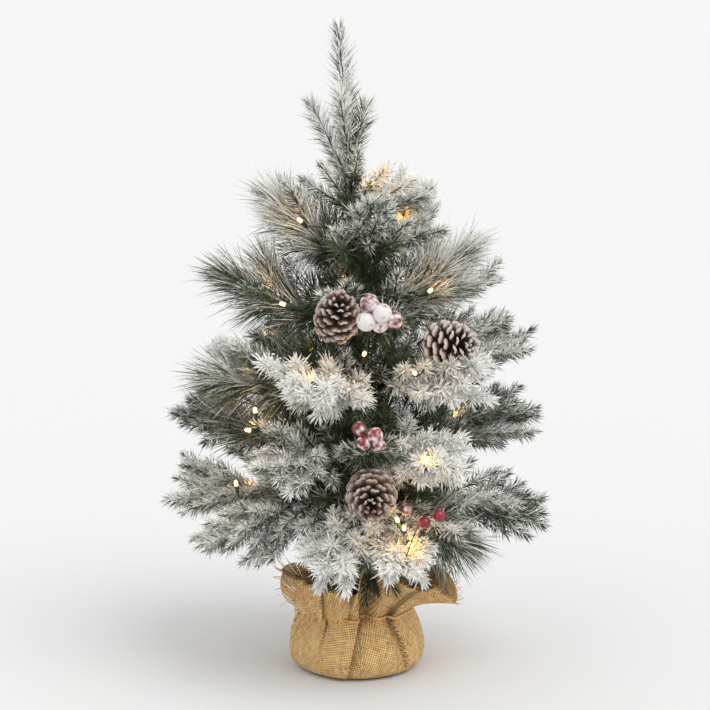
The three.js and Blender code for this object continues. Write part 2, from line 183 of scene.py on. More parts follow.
def closed_tube(pile, path, radius, sides, tone):
    """A tube whose end joins its start."""
    along = unit(np.roll(path, -1, axis=0) - np.roll(path, 1, axis=0))
    first = unit(np.cross(along, UP))[:, None]
    second = np.cross(along, first[:, 0])[:, None]
    turn = (np.arange(sides) * 2 * math.pi / sides)[None, :, None]
    rings = path[:, None] + radius * (np.cos(turn) * first + np.sin(turn) * second)
    a = np.arange(len(path) * sides).reshape(-1, sides)
    b, d = np.roll(a, -1, axis=1), np.roll(a, -1, axis=0)
    c = np.roll(b, -1, axis=0)
    faces = np.concatenate([np.stack(corners, -1).reshape(-1, 3) for corners in ((a, b, c), (a, c, d))])
    pile.add(rings.reshape(-1, 3), faces, 0.5, tone)


# ---- twigs and needles -----------------------------------------------------------------------
class Twig:
    """A bent stem: a start, a direction, a length and the way its end bows."""

    def __init__(self, start, direction, length, bow, kind, radius, bare=0.0, cover=1.0):
        self.start, self.direction = np.asarray(start, float), unit(direction)
        self.length, self.bow = length, np.asarray(bow, float)
        self.kind, self.radius, self.bare, self.cover = kind, radius, bare, cover

    def at(self, share):
        share = np.asarray(share, float)[..., None]
        return self.start + self.direction * self.length * share + self.bow * share ** 2

    def along(self, share):
        share = np.asarray(share, float)[..., None]
        return unit(self.direction * self.length + 2 * self.bow * share)


SHORT_FACES = [(0, 2, 1), (0, 3, 2), (0, 1, 3), (4, 1, 2), (4, 2, 3), (4, 3, 1)]
LONG_FACES = [
    (0, 2, 1), (0, 3, 2), (0, 1, 3), (1, 2, 5), (1, 5, 4), (2, 3, 6), (2, 6, 5), (3, 1, 4), (3, 4, 6),
    (7, 4, 5), (7, 5, 6), (7, 6, 4)]


def needle_ring(centre, side, normal, width, thickness):
    """Three points round a needle's middle line."""
    return [centre + side * width / 2, centre - side * width / 2 * 0.9 + normal * thickness * 0.4,
            centre - normal * thickness * 0.6]


def frosting(points, low, high, share, upward, chance):
    """How much flock a needle carries: more at its tip and on top, and less deep inside the tree."""
    reach = np.hypot(points[:, 0], points[:, 1])
    crown = np.interp(points[:, 2], [100, 330, 430, 480, 610], [128, 100, 60, 16, 4])
    outer = np.clip((reach / crown - 0.30) / 0.5, 0, 1)
    amount = low + (high - low) * share + 0.22 * upward + 0.72 * (chance - 0.5)
    return np.clip(amount * (0.18 + 0.82 * outer), 0, 1)


def grow_needles(pile, twig, rng):
    kind = KINDS[twig.kind]
    count = int(twig.length * (1 - twig.bare) * kind.density * twig.cover)
    if count < 3:
        return
    share = twig.bare + (1 - twig.bare) * (np.arange(count) + rng.random(count)) / count
    root = twig.at(share)
    along = twig.along(share)
    first, second = across(along)
    turn = np.arange(count) * GOLDEN_ANGLE + rng.normal(0, 0.35, count)
    spoke = np.cos(turn)[:, None] * first + np.sin(turn)[:, None] * second
    tip_lean = 1 - 0.55 * np.clip((share - 0.8) / 0.2, 0, 1)
    lean = np.radians(kind.lean + rng.normal(0, 7, count)) * tip_lean
    direction = np.cos(lean)[:, None] * along + np.sin(lean)[:, None] * spoke
    length = kind.length * rng.uniform(0.72, 1.1, count)
    length *= np.interp(share, [0, 0.15, 0.75, 1], [0.75, 1, 1, 0.72])
    side = unit(np.cross(direction, spoke))
    normal = np.cross(side, direction)
    width = (kind.width * rng.uniform(0.8, 1.2, count))[:, None]
    thickness = width * (0.8 if twig.kind == "flock" else 0.5)
    sag = (kind.sag * rng.uniform(0.3, 1.4, count))[:, None] * -UP
    sway = rng.normal(0, kind.curl, (count, 3)) * length[:, None]
    root = root + spoke * twig.radius * 0.6

    def point(part):
        return root + direction * length[:, None] * part + (sag + sway) * part ** 2

    low, high = kind.snow
    tone = rng.random(count)
    if twig.kind in PLUMES or twig.kind == "flock":
        parts, widths, faces = (0.33, 0.74), (1.0, 0.8 if twig.kind in PLUMES else 0.95), LONG_FACES
    else:
        parts, widths, faces = (0.42,), (1.0,), SHORT_FACES
    columns, shares = [point(0.0)], [0.0]
    for part, wide in zip(parts, widths):
        columns += needle_ring(point(part), side, normal, width * wide, thickness * wide)
        shares += [part] * 3
    columns.append(point(1.0))
    shares.append(1.0)
    points = np.stack(columns, axis=1)
    chance, upward = rng.random(count), spoke[:, 2]
    snow = [frosting(column, low, high, part, upward, chance) for column, part in zip(columns, shares)]
    snow = np.stack(snow, axis=1)
    pile.add_many(points, faces, snow, np.repeat(tone[:, None], len(shares), axis=1))


def icosahedron():
    """The points and faces of a unit icosahedron."""
    golden = (1 + math.sqrt(5)) / 2
    points = []
    for a in (-1, 1):
        for b in (-golden, golden):
            points += [(0, a, b), (a, b, 0), (b, 0, a)]
    points = unit(np.array(points, float))
    edge = min(np.linalg.norm(points[0] - p) for p in points[1:]) * 1.05
    faces = []
    for i in range(12):
        for j in range(i + 1, 12):
            for k in range(j + 1, 12):
                sides = [np.linalg.norm(points[m] - points[n]) for m, n in ((i, j), (j, k), (i, k))]
                if max(sides) < edge:
                    outward = np.dot(np.cross(points[j] - points[i], points[k] - points[i]), points[i]) > 0
                    faces.append((i, j, k) if outward else (i, k, j))
    return points, np.array(faces)


ICO_POINTS, ICO_FACES = icosahedron()


def grow_lumps(pile, twig, rng):
    """Clumps of flock on the upper side of a twig."""
    kind = KINDS[twig.kind]
    count = int(twig.length * kind.lumps * twig.cover)
    if count < 1:
        return
    share = twig.bare + (1 - twig.bare) * rng.random(count)
    centre = twig.at(share) + UP * rng.uniform(0.5, 4, count)[:, None]
    centre += rng.normal(0, 3.2, (count, 3))
    size = rng.uniform(0.6, 1.5, count)[:, None, None]
    shape = ICO_POINTS[None] * size * rng.uniform(0.65, 1.35, (count, 12, 1))
    points = centre[:, None] + shape * np.array([1, 1, 0.8])
    snow = np.repeat(frosting(centre, 0.95, 1.0, 1.0, 0.0, 0.5)[:, None], 12, axis=1)
    pile.add_many(points, ICO_FACES, snow, np.repeat(rng.random(count)[:, None], 12, axis=1))


def grow_stem(pile, twig, tip_radius=0.5):
    steps = max(4, int(twig.length / 12))
    share = np.linspace(0, 0.98, steps)
    radii = np.interp(share, [0, 1], [twig.radius, tip_radius])
    reach = np.hypot(*twig.at(share)[:, :2].T)
    snow = np.clip((reach - 60) / 90, 0, 0.6)
    tube(pile, twig.at(share), radii, 5, np.concatenate([np.repeat(snow, 5), snow[:1], snow[-1:]]), 0.4)


def branch_frame(azimuth, elevation):
    a, e = math.radians(azimuth), math.radians(elevation)
    out = np.array([math.cos(e) * math.cos(a), math.cos(e) * math.sin(a), math.sin(e)])
    side = np.array([-math.sin(a), math.cos(a), 0])
    return out, side, np.cross(out, side)


# The twigs of a branch: (share of the branch where it leaves, angle to the side, angle up,
# length as a share of the branch's length).
SIDE_TWIGS = [
    (0.10, 66, 14, 0.24), (0.18, 56, -12, 0.30), (0.27, 48, 10, 0.36), (0.36, 43, -10, 0.38),
    (0.45, 39, 12, 0.37), (0.54, 36, -8, 0.34), (0.63, 34, 12, 0.31), (0.72, 32, -4, 0.27),
    (0.81, 29, 10, 0.22), (0.89, 26, -2, 0.16)]
UPRIGHT_TWIGS = [
    (0.14, 0, 70, 0.24), (0.24, 12, 58, 0.28), (0.32, -16, -50, 0.24), (0.40, -10, 48, 0.28),
    (0.50, 16, -42, 0.24), (0.58, 8, 42, 0.26), (0.68, -12, -30, 0.20), (0.76, -6, 32, 0.20)]
SHORTEST_TWIG = 34
FORKED_FROM = 58                   # an extra twig longer than this has twigs of its own
STEM_SHORTFALL = 0.66              # the main stem ends this share of a needle's length early
# More twigs on some branches: (share where it leaves, angle to the side, angle up, length in mm, kind).
EXTRA_TWIGS = {
    ("lower", 1): [(0.30, 12, -9, 92, "plume"), (0.55, 16, -12, 60, "plume"), (0.45, -10, 14, 70, "green")],
    ("lower", 5): [(0.30, 4, 15, 112, "green"), (0.40, -14, -14, 90, "frost"), (0.55, 14, 16, 64, "green")],
    ("middle", 1): [(0.25, 10, 16, 84, "frost"), (0.42, -24, 20, 62, "flock")],
    ("middle", 2): [(0.36, -46, 30, 74, "flock"), (0.60, -22, 14, 48, "flock"), (0.66, 24, 10, 44, "flock")],
    ("middle", 3): [(0.55, 26, -26, 54, "flock"), (0.50, -30, -24, 54, "flock"), (0.40, 24, 24, 70, "frost")],
    ("middle", 4): [(0.30, -18, -22, 100, "frost"), (0.40, 16, -16, 84, "green"),
                    (0.24, -20, 26, 90, "plume")],
    ("lower", 2): [(0.40, -34, 12, 62, "frost"), (0.50, 20, -16, 56, "flock")],
    ("lower", 4): [(0.50, 26, 20, 52, "flock"), (0.60, -24, -8, 44, "flock")],
    ("bottom", 1): [(0.35, 24, -8, 90, "frost"), (0.40, -14, 12, 80, "frost")],
    ("bottom", 2): [(0.12, 30, -50, 56, "green"), (0.30, 16, -14, 70, "frost")],
    ("bottom", 7): [(0.14, -20, -50, 60, "green"), (0.30, 20, -30, 64, "frost"), (0.34, 44, -6, 70, "frost")],
    ("bottom", 8): [(0.14, 20, -50, 60, "green"), (0.30, -24, -30, 64, "frost"),
                    (0.36, -44, -6, 64, "frost")],
    ("bottom", 3): [(0.06, 24, -62, 80, "green"), (0.10, -4, -56, 76, "green"),
                    (0.16, -20, -56, 54, "green"), (0.55, -22, -38, 56, "flock"),
                    (0.66, 14, -36, 50, "flock"),
                    (0.50, 4, -48, 54, "flock"), (0.30, 30, -20, 66, "green")],
    ("bottom", 4): [(0.06, -24, -62, 80, "green"), (0.10, 6, -56, 76, "green"),
                    (0.16, 20, -56, 54, "green"), (0.55, 22, -30, 52, "flock"), (0.66, -18, -20, 44, "flock"),
                    (0.30, -34, -20, 66, "green")],
    ("bottom", 5): [(0.40, 18, 14, 84, "frost"), (0.40, -20, 8, 70, "frost")],
    ("bottom", 6): [(0.30, -16, 10, 96, "frost"), (0.45, 14, 12, 80, "green")],
    ("upper", 1): [(0.22, 22, -16, 84, "green"), (0.34, -20, 18, 76, "plume")],
    ("upper", 2): [(0.20, 40, 36, 60, "frost"), (0.20, -44, 30, 60, "frost"), (0.10, 0, 62, 62, "green")],
    ("upper", 3): [(0.22, -20, -20, 96, "white_plume"), (0.30, 16, -24, 88, "frost"),
                   (0.40, 14, 20, 60, "white_plume")],
    ("upper", 4): [(0.30, 40, 12, 64, "frost"), (0.30, -40, 12, 64, "plume")],
    ("top", 1): [(0.24, 26, 26, 66, "frost"), (0.34, -26, -10, 56, "white_plume")],
    ("top", 2): [(0.14, 40, -20, 56, "frost"), (0.20, -44, -16, 56, "frost"), (0.30, 0, -34, 48, "frost")],
    ("top", 3): [(0.24, -34, 22, 58, "flock"), (0.30, 30, 16, 50, "frost"), (0.14, -50, -14, 60, "frost")],
}
INNER_TWIGS = [(0.06, 50, 30, 46), (0.06, -50, -20, 46), (0.16, 34, -34, 50), (0.20, -30, 36, 50)]


def stem_place(plan, height, share):
    """A place on a branch's middle line, from 0 at its hinge to 1 at its tip."""
    azimuth, elevation, length, bow, _ = plan
    out, _, up = branch_frame(azimuth, elevation)
    a = math.radians(azimuth)
    pivot = np.array([PIVOT_RADIUS * math.cos(a), PIVOT_RADIUS * math.sin(a), height])
    return pivot + out * length * share + up * bow * share ** 2


def branch_twigs(plan, height, extra, rng):
    azimuth, elevation, length, bow, kind = plan
    out, side, up = branch_frame(azimuth, elevation)
    main_length = length - STEM_SHORTFALL * KINDS[kind].length
    main = Twig(stem_place(plan, height, 0), out, main_length, up * bow, kind, 1.5, bare=0.06)
    twigs = [main]
    for share, yaw, pitch, part in SIDE_TWIGS:
        for sign in (-1, 1):
            twigs.append(offshoot(main, share, sign * yaw, pitch, part * length, side, up, kind, rng))
    for share, yaw, pitch, part in UPRIGHT_TWIGS:
        twigs.append(offshoot(main, share, yaw, pitch, part * length, side, up, kind, rng))
    for share, yaw, pitch, long in INNER_TWIGS:
        twigs.append(offshoot(main, share, yaw, pitch, long, side, up, "inner", rng))
    for share, yaw, pitch, long, other in extra:
        twig = offshoot(main, share, yaw, pitch, long, side, up, other, rng)
        twigs.append(twig)
        if long > FORKED_FROM:
            for part, sign in ((0.4, 1), (0.5, -1), (0.66, 1), (0.76, -1)):
                twigs.append(offshoot(twig, part, sign * 34, 8, long * 0.4, side, up, other, rng))
    return twigs


def offshoot(main, share, yaw, pitch, length, side, up, kind, rng):
    y = math.radians(yaw + rng.normal(0, 7))
    p = math.radians(pitch + rng.normal(0, 7))
    share = min(0.95, share + rng.uniform(-0.03, 0.03))
    out = main.along(share)
    direction = out * math.cos(y) * math.cos(p) + side * math.sin(y) * math.cos(p) + up * math.sin(p)
    long = max(length, SHORTEST_TWIG * (1.15 - share)) * rng.uniform(0.85, 1.12)
    if kind in PLUMES:
        long *= 0.62
    bow = out * long * 0.10 + UP * long * rng.uniform(-0.02, 0.10)
    return Twig(main.at(share), direction, long, bow, kind, 0.9, bare=0.06)


# ---- materials -------------------------------------------------------------------------------
class Look:
    """A material being made. Its methods add shader nodes and give back what those put out."""

    def __init__(self, name, base=(0.5, 0.5, 0.5), roughness=0.5, metallic=0.0):
        self.material = bpy.data.materials.new(name)
        self.material.use_nodes = True
        self.tree = self.material.node_tree
        self.surface = self.tree.nodes["Principled BSDF"].inputs
        self.feed(self.surface["Base Color"], base)
        self.feed(self.surface["Roughness"], roughness)
        self.feed(self.surface["Metallic"], metallic)

    def feed(self, socket, value):
        """Joins another node's output to a socket, or sets the socket to a colour or a number."""
        if isinstance(value, bpy.types.NodeSocket):
            self.tree.links.new(value, socket)
        else:
            socket.default_value = (*value, 1) if isinstance(value, tuple) else value

    def add(self, kind, output, **inputs):
        """A node whose inputs are given by name."""
        node = self.tree.nodes.new(f"ShaderNode{kind}")
        for name, value in inputs.items():
            self.feed(node.inputs[name], value)
        return node.outputs[output]

    def stored(self, name, output="Fac"):
        """What the mesh carries at each point under this name."""
        node = self.tree.nodes.new("ShaderNodeAttribute")
        node.attribute_name = name
        return node.outputs[output]

    def place(self):
        return self.add("TexCoord", "Object")

    def parts(self, vector):
        """The three numbers of a vector."""
        node = self.tree.nodes.new("ShaderNodeSeparateXYZ")
        self.feed(node.inputs[0], vector)
        return node.outputs

    def noise(self, scale, detail=3, roughness=0.55):
        return self.add(
            "TexNoise", "Fac", Vector=self.place(), Scale=scale, Detail=detail, Roughness=roughness)

    def math(self, operation, *values):
        node = self.tree.nodes.new("ShaderNodeMath")
        node.operation = operation
        for socket, value in zip(node.inputs, values):
            self.feed(socket, value)
        return node.outputs[0]

    def scaled(self, value, factor, more):
        return self.math("MULTIPLY_ADD", value, factor, more)

    def ramp(self, factor, *stops):
        node = self.tree.nodes.new("ShaderNodeValToRGB")
        elements = node.color_ramp.elements
        while len(elements) < len(stops):
            elements.new(0.5)
        for element, (position, colour) in zip(elements, stops):
            element.position = position
            element.color = (*colour, 1)
        self.feed(node.inputs["Fac"], factor)
        return node.outputs["Color"]

    def mix(self, factor, one, other, blend="MIX"):
        node = self.tree.nodes.new("ShaderNodeMix")
        node.data_type = "RGBA"
        node.blend_type = blend
        for socket, value in zip((node.inputs[0], node.inputs[6], node.inputs[7]), (factor, one, other)):
            self.feed(socket, value)
        return node.outputs[2]

    def colour(self, value):
        self.feed(self.surface["Base Color"], value)

    def rough(self, value):
        self.feed(self.surface["Roughness"], value)

    def bump(self, height, strength, distance):
        normal = self.add("Bump", "Normal", Strength=strength, Distance=distance, Height=height)
        self.feed(self.surface["Normal"], normal)


def grey(value):
    return (value, value, value)


SNOW_WHITE = (0.975, 0.975, 0.945)
SNOW_SHADE = (0.80, 0.81, 0.775)
FINE_GRAIN = 900


def needle_material():
    look = Look("frosted_needles", roughness=0.62)
    green = look.ramp(
        look.stored("tone"), (0.0, (0.013, 0.029, 0.010)), (0.45, (0.038, 0.070, 0.025)),
        (0.8, (0.074, 0.112, 0.043)), (1.0, (0.125, 0.140, 0.056)))
    grain = look.noise(FINE_GRAIN, 2)
    snow = look.math("ADD", look.stored("snow"), look.scaled(grain, 0.5, -0.25))
    cover = look.ramp(snow, (0.26, grey(0)), (0.36, grey(0.28)), (0.62, grey(1)))
    look.colour(look.mix(cover, green, look.mix(look.noise(260), SNOW_SHADE, SNOW_WHITE)))
    look.rough(look.scaled(look.stored("snow"), 0.4, 0.5))
    look.bump(grain, 0.5, 0.0004)
    return look.material


def stem_material():
    look = Look("wound_stem", roughness=0.8)
    base = look.mix(look.noise(420), (0.028, 0.024, 0.014), (0.075, 0.070, 0.042))
    snow = look.math("ADD", look.stored("snow"), look.scaled(look.noise(500, 2), 0.8, -0.4))
    look.colour(look.mix(look.ramp(snow, (0.3, grey(0)), (0.7, grey(1))), base, SNOW_SHADE))
    look.bump(look.noise(FINE_GRAIN, 2), 0.6, 0.0004)
    return look.material


NEEDLES = needle_material()
STEM = stem_material()


# ---- foliage ---------------------------------------------------------------------------------
def branch_growth(tier, number, height, plan):
    """A branch's twigs, and the random numbers with which its needles go on."""
    rng = np.random.default_rng([SEED, height, number])
    return branch_twigs(plan, height, EXTRA_TWIGS.get((tier, number), []), rng), rng


def make_foliage():
    for tier, height, plans in TIERS:
        for number, plan in enumerate(plans, 1):
            node = f"{tier}_branch_{number}"
            twigs, rng = branch_growth(tier, number, height, plan)
            needles, stems = Pile(), Pile()
            for twig in twigs:
                grow_needles(needles, twig, rng)
                grow_lumps(needles, twig, rng)
                grow_stem(stems, twig, 0.6)
            needles.build(f"{node}_needles", NEEDLES, f"{node}_body", "needles", node, smooth=False)
            stems.build(f"{node}_stems", STEM, f"{node}_body", "brown_steel")


TRUNK_GARLAND = (160, 430)         # the pole is wound with needles between these heights
GARLAND_RADIUS = 6.5


def make_trunk_garland():
    low, high = TRUNK_GARLAND
    needles = Pile()
    twig = Twig((0, 0, low), UP, high - low, np.zeros(3), "trunk", GARLAND_RADIUS)
    grow_needles(needles, twig, np.random.default_rng([SEED, 6]))
    needles.build("trunk_garland_needles", NEEDLES, "root", "needles", smooth=False)


# The leader: the shaft from the pole's end, then the crown, and upright twigs round it.
LEADER_FOOT = (0, 0, 430.3)
LEADER_KNEE = (-6, 0, 480)
LEADER_STEM_TIP = (-16.5, 0, 601)
LEADER_TWIGS = [
    ((-8, 0, 466), (-45, 0, 541), "crown"), ((-6, 0, 478), (10, 0, 539), "crown"),
    ((-8, 0, 488), (-16, -30, 548), "crown"), ((-8, 0, 496), (-10, 28, 556), "crown"),
    ((-2, 0, 436), (-36, -22, 484), "frost"), ((-2, 0, 440), (30, -26, 482), "flock"),
    ((-2, 0, 436), (-24, 32, 490), "frost"), ((-2, 0, 440), (34, 26, 478), "frost"),
    ((-4, 0, 452), (2, -36, 498), "frost"), ((-4, 0, 456), (-6, 36, 500), "frost"),
    ((0, 0, 434), (58, -24, 470), "flock"), ((0, 0, 432), (72, -6, 452), "frost"),
    ((0, 0, 432), (-56, 10, 468), "frost"), ((0, 0, 434), (12, -52, 470), "frost"),
    ((0, 0, 434), (6, 54, 470), "flock"), ((0, 0, 434), (48, 34, 468), "frost")]
LEADER_COVER = 1.15                # the leader's needles stand this much closer than a branch's


def make_leader():
    rng = np.random.default_rng([SEED, 610])
    needles, stems = Pile(), Pile()
    runs = [(LEADER_FOOT, LEADER_KNEE, "crown", 2.2, 1), (LEADER_KNEE, LEADER_STEM_TIP, "crown", 1.8, 1)]
    runs += [(start, end, kind, 0.9, 0.9) for start, end, kind in LEADER_TWIGS]
    for start, end, kind, radius, part in runs:
        way = np.subtract(end, start)
        twig = Twig(start, way, np.linalg.norm(way) * part, np.zeros(3), kind, radius, cover=LEADER_COVER)
        grow_needles(needles, twig, rng)
        grow_lumps(needles, twig, rng)
        grow_stem(stems, twig)
    needles.build("leader_needles", NEEDLES, "root", "needles", "leader", smooth=False)
    stems.build("leader_stems", STEM, "root", "brown_steel")


# ---- burlap wrap -----------------------------------------------------------------------------
# The bag's outline from the middle of its bottom to the neck, as (radius, height).
BAG = [(0, 2.4), (30, 2.4), (49, 2.4), (53, 1.2), (57, 1.8), (61, 5.2), (64.2, 11), (65.2, 19), (63.6, 27),
       (60.6, 36), (56, 44), (52.4, 51.5), (50.5, 58)]
# The ruffle above the neck: azimuth, length, lean from the vertical, curl along its length, and
# how far it is folded down over itself as a cuff (1 is all the way).
RUFFLE = [
    (0, 42, 32, 20, 0), (20, 40, 26, 28, 0), (38, 44, 30, 34, 0), (55, 50, 34, 40, 0), (74, 44, 26, 25, 0),
    (95, 40, 20, 18, 0), (120, 44, 16, 14, 0), (145, 42, 6, 10, 0), (165, 41, -2, 8, 0), (182, 42, -9, 6, 0),
    (192, 50, -8, 4, 0.3), (204, 64, 3, 0, 1), (222, 62, 7, 0, 1), (240, 60, 8, 0, 1), (255, 54, 7, 0, 1),
    (265, 54, 5, 4, 0.6), (275, 56, 2, 8, 0.05), (284, 54, 8, 16, 0), (295, 50, 26, 24, 0),
    (310, 53, 42, 22, 0),
    (329, 63, 52, 16, 0), (346, 52, 42, 20, 0)]
CUFF_FOLD = (0.44, 0.60)           # shares of the ruffle's length between which the cuff turns over
CUFF_TURN = 176                    # degrees
# Folds that run down the bag: azimuth at the neck, azimuth at the bottom, depth, how far down it
# goes (1 is the bottom) and which side overlaps.
PLEATS = [
    (273, 259, 8.5, 1.0, 1), (307, 319, 7.0, 0.80, -1), (203, 195, 5.0, 0.85, -1), (238, 236, 2.6, 0.45, 1),
    (18, 22, 6.0, 0.75, 1), (52, 47, 5.0, 0.6, -1), (88, 94, 7.0, 0.9, 1), (128, 122, 5.6, 0.65, -1),
    (160, 166, 6.0, 0.8, 1), (342, 338, 3.6, 0.5, 1)]
# The base weight's side, as (height, radius): the cloth stays outside it.
WEIGHT_SIDE = [(4.6, 50), (11, 56), (24, 58), (40, 55), (52, 46), (60, 26)]
WEIGHT_CLEARANCE = 1.5
NECK_HOLLOW = (281, 7.5, 14)      # azimuth, half width in degrees, depth
WRAP_SEGMENTS = 470
BAG_ROWS = 64
RUFFLE_ROWS = 40
CLOTH_THICKNESS = 0.9
PLEAT_RIDGE = 11.0                 # degrees over which a pleat's ridge rises
PLEAT_GROOVE = 4.5                 # degrees over which its groove fades
CREASE_WIDTH = 2.6                 # degrees over which the cloth in the groove gets painted shade
WEAVE_PITCH = 2.15
TIE_RADIUS = 52.4
TIE_HEIGHT = 57.6
TIE_TWISTS = 70
TIE_STRAND_OFFSET = 0.6
TIE_STRAND_RADIUS = 0.75
WRAP_AZIMUTH = np.linspace(0, 360, WRAP_SEGMENTS, endpoint=False)
WRAP_ANGLE = np.radians(WRAP_AZIMUTH)
BOTTOM_RUN = 46                    # how far the cloth runs under the bag before it turns up
TURN_UP = 14                       # and over how much of its run it does that
HOLLOW_RUN = 22                    # the neck's hollow fades out over this much below the neck


def turned_by(azimuth, other):
    return (azimuth - other + 180) % 360 - 180


def around_axis(radius, angle, height):
    return np.stack(np.broadcast_arrays(radius * np.cos(angle), radius * np.sin(angle), height), axis=1)


def eased(t):
    return t * t * (3 - 2 * t)


def bag_curve():
    """The bag's outline with its corners cut three times, and the length run along it."""
    outline = np.array(BAG, float)
    for _ in range(3):
        cut = np.empty((2 * len(outline) - 2, 2))
        cut[0::2] = outline[:-1] * 0.75 + outline[1:] * 0.25
        cut[1::2] = outline[:-1] * 0.25 + outline[1:] * 0.75
        outline = np.vstack([outline[:1], cut, outline[-1:]])
    steps = np.hypot(*np.diff(outline, axis=0).T)
    return outline, np.concatenate([[0], np.cumsum(steps)])


def round_table(table, azimuth, column):
    """A column of an azimuth table, blended smoothly and closed round the circle."""
    knots, values = (np.array([row[c] for row in table], float) for c in (0, column))
    knots = np.concatenate([knots[-2:] - 360, knots, knots[:2] + 360])
    values = np.concatenate([values[-2:], values, values[:2]])
    span = np.clip(np.searchsorted(knots, azimuth) - 1, 0, len(knots) - 2)
    t = eased((azimuth - knots[span]) / (knots[span + 1] - knots[span]))
    return values[span] * (1 - t) + values[span + 1] * t


def pleat_lines(azimuth, down):
    """For each pleat: its depth, how far off its line the cloth is, and how much of it is left."""
    for top, bottom, depth, reach, side in PLEATS:
        line = top + turned_by(bottom, top) * np.clip(down / max(reach, 0.1), 0, 1)
        yield depth, turned_by(azimuth, line) * side, np.clip(1 - down / reach, 0, 1) ** 0.6


def crease_shade(azimuth, down):
    """How deep in a fold the cloth lies, from 0 to 1: how much painted shade the cloth gets there."""
    shade = np.zeros(np.broadcast(azimuth, down).shape)
    for depth, off, fade in pleat_lines(azimuth, down):
        near = np.where(off > -0.4, np.exp(-np.maximum(off, 0) / CREASE_WIDTH), 0)
        shade = np.maximum(shade, fade * min(1.0, depth / 6) * near)
    return shade


def pleat_depth(azimuth, down):
    """How far the cloth stands out; down runs from 0 at the neck to 1 at the bag's bottom."""
    out = np.zeros(np.broadcast(azimuth, down).shape)
    for depth, off, fade in pleat_lines(azimuth, down):
        ridge = np.exp(np.minimum(off, 0) / PLEAT_RIDGE)
        groove = -np.exp(-np.maximum(off, 0) / PLEAT_GROOVE)
        switch = 0.5 + 0.5 * np.tanh(off / 0.55)
        out = out + depth * fade * (ridge * (1 - switch) + groove * switch)
    return out


def neck_hollow(azimuth):
    middle, width, depth = NECK_HOLLOW
    return depth * np.exp(-(turned_by(azimuth, middle) / width) ** 2)


def cloth_panels():
    """The panels between the deep pleats: each azimuth's angle off its panel's middle, and the grain."""
    lines = sorted(top for top, _, depth, _, _ in PLEATS if depth > 2)
    panel = np.searchsorted(lines, WRAP_AZIMUTH) % len(lines)
    low = np.array([lines[k - 1] for k in panel])
    middle = low + (np.array([lines[k] for k in panel]) - low) % 360 / 2
    return np.radians(turned_by(WRAP_AZIMUTH, middle)), np.radians(middle - 270)


def cloth_place(panels, radius, run_out):
    """Where a row of the cloth lies in its weave."""
    sideways, grain = panels
    u, v = sideways * radius, run_out
    return np.stack([u * np.cos(grain) - v * np.sin(grain), u * np.sin(grain) + v * np.cos(grain)], axis=1)


def bag_rows(panels):
    """Rows of the cloth from the middle of the bottom to the neck, as (points, weave, crease)."""
    outline, run = bag_curve()
    neck = run[-1]
    gather = 0.9 * np.sin(31 * WRAP_ANGLE + 2 * np.sin(3 * WRAP_ANGLE))
    for k in range(1, BAG_ROWS + 1):
        way = neck * k / BAG_ROWS
        radius, height = (np.interp(way, run, outline[:, c]) for c in (0, 1))
        down = np.clip((neck - way) / (neck - BOTTOM_RUN), 0, 1)
        fall = np.clip((way - BOTTOM_RUN) / TURN_UP, 0, 1)
        r = radius + pleat_depth(WRAP_AZIMUTH, down) * fall + gather * math.exp(-(neck - way) / 9)
        r = r - neck_hollow(WRAP_AZIMUTH) * np.clip((way - neck + HOLLOW_RUN) / HOLLOW_RUN, 0, 1) ** 1.5
        weight = np.interp(height, *np.array(WEIGHT_SIDE, float).T)
        r = np.where(fall > 0, np.maximum(r, weight + CLOTH_THICKNESS + WEIGHT_CLEARANCE), r)
        sag = 0.5 * np.sin(5 * WRAP_ANGLE + 1) * np.sin(math.pi * down)
        weave = cloth_place(panels, radius, np.full_like(WRAP_AZIMUTH, way))
        yield around_axis(r, WRAP_ANGLE, height + sag * fall), weave, crease_shade(WRAP_AZIMUTH, down) * fall


def ruffle_rows(panels, neck_row, neck):
    """Rows of the ruffle from the neck to the cut edge, as (points, weave, crease)."""
    length, lean, curl, fold = (round_table(RUFFLE, WRAP_AZIMUTH, c) for c in (1, 2, 3, 4))
    length = length + 1.6 * np.sin(13 * WRAP_ANGLE) + 1.1 * np.sin(29 * WRAP_ANGLE + 1)
    ripple = 13 * np.sin(8 * WRAP_ANGLE + 0.7) + 9 * np.sin(13 * WRAP_ANGLE + 2.1)
    still = 1 - 0.8 * fold
    swing = np.radians(3.2 * np.sin(7 * WRAP_ANGLE + 1.3)) * still
    step = length / RUFFLE_ROWS
    r, z = np.hypot(neck_row[:, 0], neck_row[:, 1]), neck_row[:, 2]
    for k in range(1, RUFFLE_ROWS + 1):
        share = k / RUFFLE_ROWS
        over = fold * CUFF_TURN * eased(np.clip((share - CUFF_FOLD[0]) / (CUFF_FOLD[1] - CUFF_FOLD[0]), 0, 1))
        tilt = np.radians(lean + curl * share ** 1.15 + ripple * min(1.0, share * 2.2) * still + over)
        r = r + np.sin(tilt) * step
        z = z + np.cos(tilt) * step
        # Painted shade in the pleats' grooves, fading out up the ruffle.
        crease = crease_shade(WRAP_AZIMUTH, 0.0) * (1 - min(1, share * 3))
        points = around_axis(r, WRAP_ANGLE + swing * share, z)
        yield points, cloth_place(panels, r, neck + length * share), crease


def wrap_rows():
    panels = cloth_panels()
    rows = list(bag_rows(panels))
    rows += list(ruffle_rows(panels, rows[-1][0], bag_curve()[1][-1]))
    return (np.array(values) for values in zip(*rows))


def grid_normals(rows):
    down = np.gradient(rows, axis=0)
    around = (np.roll(rows, -1, axis=1) - np.roll(rows, 1, axis=1)) / 2
    return unit(np.cross(around, down))


